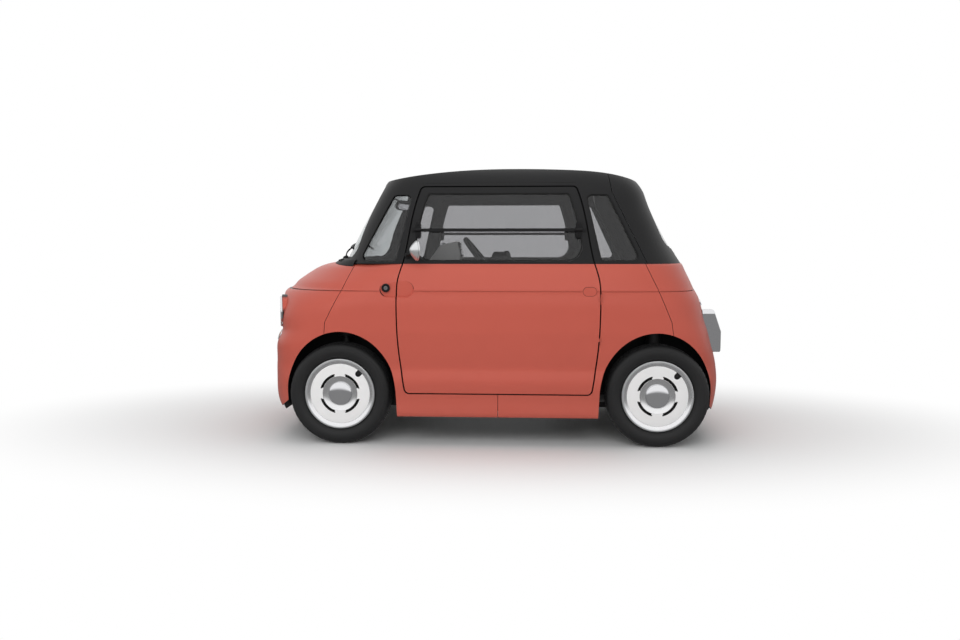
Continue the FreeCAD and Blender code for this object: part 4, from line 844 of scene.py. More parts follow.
class CAR_OT_stage(CarOperator, bpy.types.Operator):
    """Camera, soft light, white surroundings and pale floor"""
    bl_idname = "car.stage"
    bl_label = "Stage"

    def camera(self):
        """Camera at the photograph's place."""
        level = Vector((math.sin(CAMERA_YAW), -math.cos(CAMERA_YAW), 0))
        right = Vector((-math.cos(CAMERA_YAW), -math.sin(CAMERA_YAW), 0))
        ahead = level * math.cos(CAMERA_PITCH) - UP * math.sin(CAMERA_PITCH)
        above = level * math.sin(CAMERA_PITCH) + UP * math.cos(CAMERA_PITCH)
        data = bpy.data.cameras.new("camera")
        data.lens = CAMERA_LENS
        data.sensor_width = CAMERA_SENSOR
        data.clip_end = 100.0
        thing = bpy.data.objects.new("camera", data)
        turn = Matrix((right, above, -ahead)).transposed().to_4x4()
        thing.matrix_world = Matrix.Translation(CAMERA_PLACE) @ turn
        bpy.context.scene.collection.objects.link(thing)
        bpy.context.scene.camera = thing

    def lamp(self, name, place, target, size, power):
        """Large soft lamp aimed at a point."""
        data = bpy.data.lights.new(name, "AREA")
        data.shape = "RECTANGLE"
        data.size, data.size_y = size
        data.energy = power
        thing = bpy.data.objects.new(name, data)
        thing.location = place
        thing.rotation_mode = "QUATERNION"
        thing.rotation_quaternion = (Vector(target) - Vector(place)).to_track_quat("-Z", "Y")
        thing.visible_camera = False
        thing.visible_glossy = False
        thing.visible_transmission = False
        bpy.context.scene.collection.objects.link(thing)

    def world(self):
        """White to the camera, darker towards the floor in reflections, softer as light."""
        world = bpy.data.worlds.new("studio")
        bpy.context.scene.world = world
        world.use_nodes = True
        tree = world.node_tree
        back = tree.nodes["Background"]
        back.inputs["Color"].default_value = (1.0, 1.0, 1.0, 1.0)
        path = tree.nodes.new("ShaderNodeLightPath")
        through = path.outputs["Is Transmission Ray"]
        direct = maths(tree, "LESS_THAN", path.outputs["Diffuse Depth"], 0.5)
        seen = maths(tree, "MAXIMUM", path.outputs["Is Camera Ray"], maths(tree, "MULTIPLY", through,
                                                                           direct))
        mirrored = maths(tree, "MULTIPLY", path.outputs["Is Glossy Ray"],
                         maths(tree, "SUBTRACT", 1.0, through))
        split = tree.nodes.new("ShaderNodeSeparateXYZ")
        tree.links.new(object_space(tree).outputs["Generated"], split.inputs[0])
        sky = smooth_ramp(tree, split.outputs[2], SKY_RAMP)
        ambient = settings("car_stage").ambient
        plain = maths(tree, "MULTIPLY_ADD", seen, 1.0 - ambient, ambient)
        more = maths(tree, "MULTIPLY", mirrored, maths(tree, "SUBTRACT", sky, ambient))
        tree.links.new(maths(tree, "ADD", plain, more), back.inputs["Strength"])

    def floor(self):
        """Pale floor that fades to white away from the car."""
        shape = bmesh.new()
        bmesh.ops.create_grid(shape, x_segments=4, y_segments=4, size=30.0)
        mesh = bpy.data.meshes.new("floor")
        shape.to_mesh(mesh)
        shape.free()
        thing = bpy.data.objects.new("floor", mesh)
        bpy.context.scene.collection.objects.link(thing)
        mesh.materials.append(finish("floor_pale", tuple(settings("car_stage").floor), 0.7, drift=0.01,
                                     patches=0.8, rub=0.04))
        tree = mesh.materials[0].node_tree
        shader = tree.nodes["Principled BSDF"]
        squeezed = vector_maths(tree, "MULTIPLY", object_space(tree).outputs["Object"], FLOOR_SQUEEZE)
        reach = vector_maths(tree, "LENGTH", squeezed.outputs[0])
        fade = smooth_ramp(tree, reach.outputs["Value"], FLOOR_FADE)
        glow = tree.nodes.new("ShaderNodeEmission")
        path = tree.nodes.new("ShaderNodeLightPath")
        seen = maths(tree, "MAXIMUM", path.outputs["Is Camera Ray"], path.outputs["Is Transmission Ray"])
        share = maths(tree, "MULTIPLY", fade, seen)
        dim = tree.nodes.new("ShaderNodeEmission")
        dim.inputs["Strength"].default_value = FLOOR_REFLECTED
        mirrored = maths(tree, "MULTIPLY", path.outputs["Is Glossy Ray"],
                         maths(tree, "SUBTRACT", 1.0, path.outputs["Is Transmission Ray"]))
        result = shader.outputs[0]
        for amount, other in ((share, glow), (mirrored, dim)):
            result = blended(tree, amount, result, other.outputs[0])
        tree.links.new(result, tree.nodes["Material Output"].inputs["Surface"])

    def execute(self, context):
        values = settings("car_stage")
        context.scene.view_settings.view_transform = "Standard"
        self.camera()
        self.world()
        self.lamp("key_lamp", (0.6, 4.2, 2.6), (0.0, 0.0, 0.6), (4.5, 2.5), values.key)
        self.lamp("top_lamp", (0.0, 0.0, 4.2), (0.0, 0.0, 0.0), (5.0, 3.5), values.top)
        self.lamp("far_lamp", (-0.6, -4.2, 2.6), (0.0, 0.0, 0.6), (4.5, 2.5), values.key * 0.6)
        self.floor()
        return {"FINISHED"}


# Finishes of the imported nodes

class CAR_OT_finishes(CarOperator, bpy.types.Operator):
    """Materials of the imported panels, panes and running gear"""
    bl_idname = "car.finishes"
    bl_label = "Finishes"

    def execute(self, context):
        paint = settings("car_paint")
        glass = settings("car_glass")
        for node in ("nose_panel", "tail_panel", "side_panel_left", "side_panel_right",
                     "door_left_shell", "door_right_shell"):
            dress(node, body_paint_and_edge_shade())
        for node in ("greenhouse_frame", "rear_hood", "door_left_frame", "door_right_frame"):
            dress(node, black_frame())
        dress("roof_panel", finish("roof_black", tuple(paint.roof), 0.30, drift=0.05, grain=500.0,
                                   relief=0.01, Specular_IOR_Level=0.16))
        smoke = pane("smoked_pane", tuple(glass.smoke))
        for node in ("door_left_glass", "door_right_glass", "quarter_glass_left", "quarter_glass_right",
                     "rear_window"):
            dress(node, smoke)
        dress("windscreen", pane("screen_pane", tuple(glass.screen)))
        for node in ("floor_tub", "arch_liners_front", "arch_liners_rear"):
            dress(node, black_plastic())
        for node in ("front_subframe", "crash_beam", "rear_beam", "knuckle_left", "knuckle_right"):
            dress(node, steel())
        casing = finish("cast_casing", (0.30, 0.31, 0.32), 0.52, metallic=0.7, drift=0.15, patches=8.0,
                        rub=0.1, grain=450.0, relief=0.15, dust=0.3, dust_top=0.6)
        dress("motor_block", casing)
        dress("battery_box", casing)
        dress("dashboard", dash_plastic())
        dress("headlamp_bowls", chrome())
        dress("headlamp_lenses", pane("clear_lens", (0.95, 0.97, 1.0)))
        dress("tail_lamps", chrome())
        dress("tail_lamp_lenses", lamp_lens())
        return {"FINISHED"}


# Wheels and tyres

def wheel_places():
    """Name, side, centre of each road wheel."""
    places = []
    for end in ENDS:
        for side, sign in SIDES:
            low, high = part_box("tyre_" + end + "_" + side)
            places.append((end + "_" + side, sign, (low + high) / 2))
    return places


def face_angle(point):
    """Angle of a point round local Z in degrees, 0 to 360."""
    return math.degrees(math.atan2(point.y, point.x)) % 360.0


class CAR_OT_tyres(CarOperator, bpy.types.Operator):
    """Tyres with rounded sidewalls, grooves and tread blocks"""
    bl_idname = "car.tyres"
    bl_label = "Tyres"

    SIDEWALL = [(0.1860, 0.0530), (0.1945, 0.0535), (0.1985, 0.0600), (0.2060, 0.0672), (0.2068, 0.0688),
                (0.2095, 0.0698), (0.2180, 0.0740), (0.2300, 0.0768), (0.2420, 0.0774), (0.2520, 0.0752),
                (0.2528, 0.0738), (0.2600, 0.0712), (0.2670, 0.0668), (0.2718, 0.0610), (0.2752, 0.0540),
                (0.2770, 0.0470)]
    GROOVES = (0.0370, 0.0120)
    GROOVE_HALF = 0.0038
    CELLS = 6
    SHOULDER = (0.0408, 0.0620, 0.268)
    MIDDLE = (0.0158, 0.0335, 0.276)

    def profile(self):
        """Half of the section from the bead to the middle of the tread, then its mirror image."""
        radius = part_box("tyre_front_left")[1].z / 2
        depth = settings("car_wheels").groove_depth
        half = list(self.SIDEWALL)
        for middle in self.GROOVES:
            crown = radius - 0.25 * middle ** 2 / radius
            half += [(crown, middle + self.GROOVE_HALF), (crown - depth, middle + self.GROOVE_HALF * 0.75),
                     (crown - depth, middle - self.GROOVE_HALF * 0.75), (crown, middle - self.GROOVE_HALF)]
        return half + [(r, -y) for r, y in reversed(half)]

    def tyre(self):
        """Tyre about local Z; cells of the two bands (low, high, least radius) are cut away."""
        cells = settings("car_wheels").tread_blocks * self.CELLS
        shape = turned(self.profile(), cells, closed=True)
        cuts = []
        for face in shape.faces:
            centre = face.calc_center_median()
            radius = math.hypot(centre.x, centre.y)
            step = int(face_angle(centre) / 360.0 * cells)
            for (low, high, tread), shift in ((self.SHOULDER, 0), (self.MIDDLE, self.CELLS // 2)):
                if low < abs(centre.z) < high and radius > tread and (step + shift) % self.CELLS == 0:
                    cuts.append(face)
        depth = settings("car_wheels").groove_depth * 0.7
        return sunk(shape, cuts, lambda co: Vector((co.x, co.y, 0)).normalized() * -depth)

    def execute(self, context):
        for name, sign, centre in wheel_places():
            shape = moved(self.tyre(), aim(centre, LEFT * sign, UP))
            piece("tyre_" + name + "_rubber", shape, "road_wheel_" + name, "tyre_rubber", rubber(),
                  stands_for=("tyre_" + name,), sharp=28.0)
        return {"FINISHED"}


class CAR_OT_wheels(CarOperator, bpy.types.Operator):
    """Rims, white covers with arc slots, domed caps and valves"""
    bl_idname = "car.wheels"
    bl_label = "Wheels"

    STEPS = 144
    CAP = [(0, 0.0655), (0.20, 0.0652), (0.42, 0.0642), (0.62, 0.0624), (0.80, 0.0596), (0.92, 0.0564),
           (0.985, 0.0530), (1, 0.0500), (1, 0.0440), (0, 0.0440)]
    SLOT_FIRST = 15.0
    SLOT_LAST = 75.0
    VALVE_ANGLE = 43.0

    def rim(self):
        """Rim lip, barrel, hub and brake disc."""
        lip = settings("car_wheels").rim_radius
        ring = settings("car_wheels").ring_radius
        shape = turned([(ring - 0.004, 0.0480), (ring, 0.0535), (ring + 0.003, 0.0552), (0.1705, 0.0562),
                        (0.1780, 0.0590), (0.1802, 0.0612), (0.1835, 0.0632), (0.1880, 0.0638),
                        (0.1915, 0.0628), (lip - 0.0004, 0.0606), (lip, 0.0585), (lip, 0.0545),
                        (0.1855, 0.0545), (0.1855, 0.0430), (0.1720, 0.0300), (0.1720, -0.0400),
                        (0.1855, -0.0480), (0.1855, -0.0545), (lip, -0.0545), (lip, -0.0600),
                        (0.1860, -0.0625), (0.1810, -0.0600), (0.1640, -0.0440), (0.1640, 0.0340),
                        (0.1000, 0.0380), (0.0560, 0.0320), (0.0520, 0.0280), (0.0520, -0.0020),
                        (0.0480, -0.0020), (0.0480, 0.0240), (0.0, 0.0240)], self.STEPS)
        brake = turned([(0.0243, -0.0120), (0.1100, -0.0120), (0.1100, -0.0085), (0.1080, -0.0080),
                        (0.1080, -0.0060), (0.1100, -0.0055), (0.1100, -0.0020), (0.0243, -0.0020)],
                       self.STEPS, closed=True)
        for face in brake.faces:
            face.material_index = 2

        def finish_of(face):
            centre = face.calc_center_median()
            radius = math.hypot(centre.x, centre.y)
            if radius > 0.1795 and centre.z > 0.05:
                return 0
            return 1 if radius > ring - 0.001 and centre.z > 0.05 else 3

        for face in shape.faces:
            face.material_index = finish_of(face)
        return joined(shape, brake)

    def cover(self):
        """White disc with four arc slots, black inside as painted shade, and its conical hub ring."""
        values = settings("car_wheels")
        hub, width = values.hub_radius, values.slot_width
        shape = turned([(values.cap_radius - 0.004, 0.0452), (values.cap_radius + 0.002, 0.0454),
                        (0.0720, 0.0464), (0.0800, 0.0486), (0.0880, 0.0514), (hub - 0.0040, 0.0536),
                        (hub - 0.0022, 0.0546), (hub - 0.0008, 0.0547), (hub, 0.0541), (hub + 0.002, 0.0540),
                        (hub + width * 0.5, 0.0540), (hub + width, 0.0541), (0.1300, 0.0543),
                        (0.1450, 0.0544), (values.ring_radius - 0.003, 0.0544),
                        (values.ring_radius - 0.0008, 0.0538), (values.ring_radius - 0.0006, 0.0500)],
                       self.STEPS)
        cuts = []
        step = 360.0 / self.STEPS
        for face in shape.faces:
            centre = face.calc_center_median()
            radius = math.hypot(centre.x, centre.y)
            angle = face_angle(centre) % 90.0
            narrower = step if radius < hub + width * 0.5 else 0.0
            inside = self.SLOT_FIRST + narrower < angle < self.SLOT_LAST - narrower
            if inside and hub < radius < hub + width:
                cuts.append(face)
            elif radius < hub - 0.0005:
                face.material_index = 1
        # Material 2, black plastic, on the slot walls and floors is painted shade of the openings
        return sunk(shape, cuts, (0, 0, -values.slot_depth), 2)

    def cap(self):
        """Domed bright cap in the middle."""
        radius = settings("car_wheels").cap_radius
        return turned([(radius * share, height) for share, height in self.CAP])

    def valve(self, sign):
        """Flat black plate as painted shade of the valve notch, with its stem, up and to the rear of the
        hub.
        """
        half, inner, outer = 0.0160, 0.1330, 0.1668
        end = [(math.cos(math.radians(step)) * half, inner + half - math.sin(math.radians(step)) * half)
               for step in range(0, 181, 15)]
        # The flat black plate is painted shade where the cover has its valve notch
        pocket = plate(end + [(-half, outer), (half, outer)], 0.0018, 0.0005)
        stem = turned([(0, 0), (0.0042, 0), (0.0042, 0.004), (0.0030, 0.0052), (0.0030, 0.0066),
                       (0, 0.007)], 20)
        shifted(stem, (0, inner + half * 1.1, 0.001))
        painted(stem, 1)
        turn = Matrix.Rotation(math.radians(-self.VALVE_ANGLE * sign), 4, "Z")
        return moved(joined(pocket, stem), turn @ Matrix.Translation((0, 0, 0.0530)))

    def execute(self, context):
        white = finish("wheel_white", tuple(settings("car_wheels").cover), 0.34, drift=0.02, rub=0.06,
                       grain=900.0, relief=0.01, Coat_Weight=0.2, Coat_Roughness=0.15)
        grey = finish("wheel_grey", (0.86, 0.86, 0.87), 0.22, metallic=1.0, drift=0.03, rub=0.04)
        for name, sign, centre in wheel_places():
            body = "road_wheel_" + name
            place = aim(centre, LEFT * sign, UP)
            piece("wheel_" + name + "_rim", moved(self.rim(), place), body, "wheel_white",
                  silver(), grey, bare_steel(), steel(), stands_for=("wheel_" + name,), sharp=30.0)
            piece("wheel_" + name + "_cover", moved(self.cover(), place), body, "wheel_white",
                  white, grey, black_plastic(), sharp=30.0)
            piece("wheel_" + name + "_cap", moved(self.cap(), place), body, "bright_trim",
                  chrome(), sharp=40.0)
            piece("wheel_" + name + "_valve", moved(self.valve(sign), place), body, "wheel_white",
                  black_plastic(), rubber())
        return {"FINISHED"}


# Mirrors

class CAR_OT_mirrors(CarOperator, bpy.types.Operator):
    """Round door mirrors with a cone-shaped silver housing"""
    bl_idname = "car.mirrors"
    bl_label = "Mirrors"

    YAW = 20.0
    DEPTH = 0.044
    CONE = [(0.90, 0.34), (0.72, 0.56), (0.50, 0.79), (0.30, 0.94), (0.14, 0.99), (0.0, 1.0)]

    def head(self, radius):
        """Cone-shaped housing with its rim, and the recessed glass, glass side at local z = 0."""
        rim = [(0.0, 0.0030), (radius - 0.0045, 0.0030), (radius - 0.0040, 0.0004), (radius - 0.0025, 0.0),
               (radius - 0.0005, 0.0006), (radius, 0.0020), (radius, 0.0075), (radius - 0.0008, 0.0090)]
        cone = [(radius * share, self.DEPTH * height) for share, height in self.CONE]
        housing = turned(rim + cone, 64)
        glass = turned([(0.0, 0.0012), (radius - 0.0060, 0.0012), (radius - 0.0054, 0.0018),
                        (radius - 0.0054, 0.0035), (0.0, 0.0035)], 64)
        seam = turned([(radius - 0.001, 0.0078), (radius + 0.0003, 0.0080), (radius + 0.0003, 0.0090),
                       (radius - 0.001, 0.0092)], 64, closed=True)
        return joined(housing, painted(glass, 1), painted(seam, 2))

    def execute(self, context):
        for side, sign in SIDES:
            node = "door_" + side + "_mirror"
            low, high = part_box(node)
            radius = (high.z - low.z) / 2 - 0.0010
            outer_y = high.y if sign > 0 else low.y
            yaw = math.radians(self.YAW)
            axis = Vector((math.cos(yaw), sign * math.sin(yaw), 0))
            centre = Vector((low.x + radius * math.sin(yaw), outer_y - sign * (radius + 0.0010),
                             (low.z + high.z) / 2))
            head = moved(self.head(radius), aim(centre, axis, UP))
            foot, normal = touch("door_" + side + "_frame", (0.458, sign * OUTSIDE, centre.z - 0.0275),
                                 (0, -sign, 0))
            arm = tube(curved([foot - normal * 0.003, foot + normal * 0.012,
                               centre + axis * 0.030 + Vector((0.008, -sign * 0.020, -0.018)),
                               centre + axis * 0.020 - UP * 0.010]), 0.0075, UP, steps=14)
            shoe = moved(turned([(0, 0), (0.018, 0), (0.019, 0.002), (0.015, 0.006), (0.010, 0.009),
                                 (0, 0.009)], 32), aim(foot - normal * 0.001, normal))
            piece("mirror_" + side, joined(head, painted(arm, 2), painted(shoe, 2)), "door_" + side,
                  "bright_trim", silver(), mirror_glass(), black_plastic(), stands_for=(node,))
        return {"FINISHED"}


# Window fittings

class CAR_OT_windows(CarOperator, bpy.types.Operator):
    """Flap hinges and latch of the door windows"""
    bl_idname = "car.windows"
    bl_label = "Window fittings"

    HINGE_X = (0.402, -0.460)
    RAIL_Z = 1.172
    LATCH_X = -0.035

    def hinge(self):
        """Flap hinge: a rounded plate with its barrel and two screws, outward along local Z."""
        leaf = plate(oval(0.032, 0.092, 4.0, 36), 0.006, 0.0015)
        barrel = rod((-0.019, 0, 0.009), (0.019, 0, 0.009), 0.0095, 24)
        screws = [shifted(turned([(0, 0), (0.0055, 0), (0.0055, 0.002), (0.004, 0.0035), (0, 0.0035)], 20),
                          (0, y, 0.006)) for y in (0.030, -0.030)]
        return joined(leaf, barrel, *screws)

    def latch(self):
        """Turn knob with its keeper."""
        keeper = plate([(-0.046, -0.025), (0.046, -0.025), (0.036, 0.019), (0.029, 0.025), (-0.029, 0.025),
                        (-0.036, 0.019)], 0.007, 0.0015)
        tongue = shifted(block((0.030, 0.040, 0.012), 0.002), (0.014, 0.010, 0.008))
        knob = shifted(turned([(0, 0), (0.011, 0), (0.012, 0.003), (0.011, 0.014), (0.008, 0.017),
                               (0, 0.0175)], 28), (-0.010, 0.004, 0.006))
        return joined(keeper, tongue, knob)

    def execute(self, context):
        for side, sign in SIDES:
            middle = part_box("door_" + side + "_glass")
            middle_x = (middle[0].x + middle[1].x) / 2
            for number, x in enumerate(self.HINGE_X, 1):
                x = x if sign > 0 else 2 * middle_x - x
                point, _ = touch("door_" + side + "_frame", (x, sign * OUTSIDE, self.RAIL_Z), (0, -sign, 0))
                place = aim(point - Vector((0, sign * 0.0015, 0)), LEFT * sign, UP)
                piece("flap_hinge_" + side + "_" + str(number), moved(self.hinge(), place), "door_" + side,
                      "black_frame", black_plastic())
            point, _ = touch("door_" + side + "_glass", (self.LATCH_X, sign * OUTSIDE, 1.026), (0, -sign, 0))
            place = aim(point + Vector((0, -sign * 0.0055, 0)), LEFT * -sign, UP)
            piece("flap_latch_" + side, moved(self.latch(), place), "door_" + side, "black_frame",
                  black_plastic())
        return {"FINISHED"}


# Lamps

class CAR_OT_headlamps(CarOperator, bpy.types.Operator):
    """Bulbs, fluted glass and gaskets of the headlamps, and the small turn lamps below them"""
    bl_idname = "car.headlamps"
    bl_label = "Front lamps"

    FRONT = Vector((1.208, 0.452, 0.716))
    YAW = 17.0
    GLASS_RADIUS = 0.0732
    FLUTES = 15
    TURN_LAMP = (PAST_END, 0.505, 0.590)

    def bulb(self):
        """Glass bulb with its collar, standing on the holder."""
        collar = turned([(0, -0.0305), (0.0125, -0.0305), (0.0130, -0.0295), (0.0125, -0.0265),
                         (0.0096, -0.0258), (0.0096, -0.0215), (0, -0.0215)], 32)
        glass = turned([(0, -0.0220), (0.0070, -0.0220), (0.0080, -0.0190), (0.0080, -0.0120),
                        (0.0066, -0.0092), (0.0036, -0.0076), (0, -0.0072)], 32)
        thread = moved(coil(0.0011, 0.00025, 0.0008, 7, 12, 5),
                       Matrix.Translation((-0.0028, 0, -0.0150)) @ Matrix.Rotation(math.pi / 2, 4, "Y"))
        return joined(collar, painted(glass, 1), painted(thread, 0))

    def flutes(self):
        """Ring with upright glass ribs behind the lens."""
        radius = self.GLASS_RADIUS
        bars = [turned([(radius - 0.004, -0.0098), (radius, -0.0098), (radius, -0.0058),
                        (radius - 0.004, -0.0058)], 72, closed=True)]
        pitch = 2 * radius / (self.FLUTES + 1)
        for number in range(self.FLUTES):
            x = pitch * (number + 1) - radius
            chord = math.sqrt(radius ** 2 - x ** 2) - 0.0020
            bars.append(rod((x, -chord, -0.0078), (x, chord, -0.0078), 0.0022, 10))
        return joined(*bars)

    def gasket(self):
        """Black ring between the pod and the bright ring."""
        return turned([(0.0858, -0.0010), (0.0905, -0.0010), (0.0905, 0.0010), (0.0892, 0.0020),
                       (0.0858, 0.0020)], 96, closed=True)

    def turn_lamp(self):
        """Small round lamp with a bright ring."""
        ring = turned([(0, -0.012), (0.0290, -0.012), (0.0310, 0.0005), (0.0306, 0.0040), (0.0288, 0.0058),
                       (0.0264, 0.0052), (0.0253, 0.0034), (0.0250, -0.0020), (0, -0.0020)], 64)
        lens = turned([(0, -0.0016), (0.0247, -0.0016), (0.0247, 0.0026), (0.0205, 0.0058), (0.0125, 0.0080),
                       (0, 0.0088)], 64)
        return joined(ring, painted(lens, 1))

    def execute(self, context):
        glass = pane("clear_lens", (0.95, 0.97, 1.0))
        amber = finish("amber_lens", (0.80, 0.24, 0.02), 0.08, drift=0.04, patches=60.0,
                       Transmission_Weight=0.65, IOR=1.48)
        for side, sign in SIDES:
            yaw = math.radians(self.YAW)
            axis = Vector((math.cos(yaw), sign * math.sin(yaw), 0))
            place = aim(Vector((self.FRONT.x, sign * self.FRONT.y, self.FRONT.z)), axis, UP)
            piece("headlamp_bulb_" + side, moved(self.bulb(), place), "car_body", "bright_trim",
                  bare_steel(), glass)
            piece("headlamp_flutes_" + side, moved(self.flutes(), place), "car_body", "clear_lens", glass)
            piece("headlamp_gasket_" + side, moved(self.gasket(), place), "car_body", "black_frame",
                  seal_rubber())
            x, y, z = self.TURN_LAMP
            point, normal = touch("nose_panel", (x, sign * y, z), -FORWARD)
            place = aim(point - normal * 0.001, normal, UP)
            piece("turn_lamp_" + side, moved(self.turn_lamp(), place), "car_body", "clear_lens", chrome(),
                  amber)
        return {"FINISHED"}


class CAR_OT_rear_lamps(CarOperator, bpy.types.Operator):
    """Small round reflectors, the high stop lamp and the handle of the rear hood"""
    bl_idname = "car.rear_lamps"
    bl_label = "Rear lamps"

    REFLECTOR = (-PAST_END, 0.440, 0.775)
    LAMP_Y = 0.440
    LAMP_Z = 0.617
    LAMP_WIDTH = 0.084
    LAMP_HEIGHT = 0.236
    LAMP_CORNER = 0.022
    LAMP_RAKE = 0.040
    STOP_LAMP_Z = 1.412
    HANDLE_Z = 1.030

    def reflector(self):
        """Round red reflector in a bright ring."""
        ring = turned([(0, -0.006), (0.0175, -0.006), (0.0190, 0.0005), (0.0184, 0.0030), (0.0168, 0.0040),
                       (0.0152, 0.0030), (0.0150, 0.0005), (0, 0.0005)], 48)
        lens = turned([(0, 0.0003), (0.0149, 0.0003), (0.0149, 0.0022), (0.0110, 0.0038), (0, 0.0046)], 48)
        return joined(ring, painted(lens, 1))

    def stop_lamp(self):
        """Flat red lamp in a black housing."""
        housing = plate(stadium(0.178, 0.026), 0.010, 0.003)
        lens = shifted(plate(stadium(0.164, 0.014), 0.003, 0.001), (0, 0, 0.0092))
        return joined(shifted(housing, (0, 0, -0.0005)), painted(lens, 1))

    def handle(self):
        """Pull handle with its escutcheon and a round lock."""
        base = plate(stadium(0.142, 0.040), 0.006, 0.002)
        grip = tube(curved([(-0.048, 0, 0.004), (-0.044, 0, 0.019), (-0.020, 0, 0.025), (0.020, 0, 0.025),
                            (0.044, 0, 0.019), (0.048, 0, 0.004)]), 0.0062, (0, 1, 0), steps=14)
        lock = turned([(0, 0.005), (0.0095, 0.005), (0.0100, 0.0075), (0.0085, 0.0085), (0, 0.0085)], 32)
        shifted(lock, (0, -0.0095, 0))
        return joined(base, grip, painted(lock, 1))

    def bezel(self, sign, width, height, radius):
        """Round bright bead along the face of a tail lamp, a little way in from its edge."""
        corner = self.LAMP_CORNER - (self.LAMP_WIDTH - width) / 2
        line = []
        for number, (y, z) in enumerate(((1, 1), (-1, 1), (-1, -1), (1, -1))):
            for step in range(7):
                angle = math.radians(90.0 * number + 15.0 * step)
                across = (width / 2 - corner) * y + math.cos(angle) * corner + sign * self.LAMP_Y
                up = (height / 2 - corner) * z + math.sin(angle) * corner + self.LAMP_Z
                line.append(Vector((-PAST_END, across, up)))
        points = refined(line, 0.012)
        low_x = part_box("tail_lamps")[0].x
        for point in points:
            point.x = low_x + self.LAMP_RAKE * max(0.0, point.z - self.LAMP_Z) / (self.LAMP_HEIGHT / 2)
        return tube(points, radius, FORWARD, True, 10)

    def execute(self, context):
        for side, sign in SIDES:
            rings = joined(self.bezel(sign, self.LAMP_WIDTH - 0.006, self.LAMP_HEIGHT - 0.006, 0.0030),
                           self.bezel(sign, self.LAMP_WIDTH - 0.021, self.LAMP_HEIGHT - 0.021, 0.0024))
            piece("tail_bezel_" + side, rings, "car_body", "bright_trim", chrome(), sharp=60.0)
        red = finish("red_reflector", (0.30, 0.008, 0.008), 0.08, drift=0.06, patches=90.0,
                     Coat_Weight=0.8, Coat_Roughness=0.04)
        for side, sign in SIDES:
            x, y, z = self.REFLECTOR
            point, normal = touch("tail_panel", (x, sign * y, z), FORWARD)
            piece("reflector_" + side, moved(self.reflector(), aim(point, normal, UP)), "car_body",
                  "red_lens", chrome(), red)
        point, normal = touch("rear_hood", (-PAST_END, 0, self.STOP_LAMP_Z), FORWARD)
        piece("stop_lamp", moved(self.stop_lamp(), aim(point, normal, UP)), "car_body", "red_lens",
              black_plastic(), red)
        point, normal = touch("rear_hood", (-PAST_END, 0, self.HANDLE_Z), FORWARD)
        piece("hood_handle", moved(self.handle(), aim(point - normal * 0.001, normal, UP)), "car_body",
              "black_frame", black_plastic(), silver())
        return {"FINISHED"}


# Locks

class CAR_OT_locks(CarOperator, bpy.types.Operator):
    """Door locks in their recesses, and the dark lines round the blank caps"""
    bl_idname = "car.locks"
    bl_label = "Locks"

    LOCK = Vector((0.572, 0.692, 0.862))
    BLANK_CAP = Vector((-0.519, 0.6925, 0.844))
    CAP_LENGTH = 0.071
    CAP_HEIGHT = 0.046

    def lock(self):
        """Black ring round a metal core with its key slot, outward along local Z."""
        ring = turned([(0.0110, -0.0030), (0.0215, -0.0030), (0.0232, 0.0005), (0.0232, 0.0025),
                       (0.0215, 0.0045), (0.0180, 0.0054), (0.0145, 0.0046), (0.0125, 0.0028),
                       (0.0118, 0.0010)], 64, closed=True)
        core = turned([(0, -0.0020), (0.0116, -0.0020), (0.0116, 0.0016), (0.0106, 0.0028), (0.0080, 0.0028),
                       (0.0076, 0.0018), (0.0066, 0.0018), (0.0062, 0.0030), (0, 0.0030)], 48)
        slot = shifted(block((0.0016, 0.0084, 0.0006)), (0, 0, 0.0031))
        return joined(ring, painted(core, 1), painted(slot, 2))

    def swapped(self, point, sign):
        """The point on the left side, or turned half round the middle of the doors onto the right."""
        return point if sign > 0 else Vector((2 * DOOR_MIDDLE_X - point.x, -point.y, point.z))

    def execute(self, context):
        core = finish("lock_metal", (0.36, 0.36, 0.37), 0.28, metallic=1.0, drift=0.05, grain=2000.0,
                      relief=0.02)
        for side, sign in SIDES:
            place = aim(self.swapped(self.LOCK, sign), LEFT * sign, UP)
            piece("lock_" + side, moved(self.lock(), place), "car_body", "bright_trim", black_plastic(),
                  core, seal_rubber())
            centre = self.swapped(self.BLANK_CAP, sign)
            line = []
            for x, z in stadium(self.CAP_LENGTH + 0.0012, self.CAP_HEIGHT + 0.0012, 16):
                point, _ = touch("door_" + side + "_shell", (centre.x + x, sign * OUTSIDE, centre.z + z),
                                 (0, -sign, 0))
                line.append(point)
            piece("cap_line_" + side, tube(line, 0.0011, LEFT * sign, True, 8), "door_" + side,
                  "black_frame", seal_rubber())
        return {"FINISHED"}


# Cowl and wiper

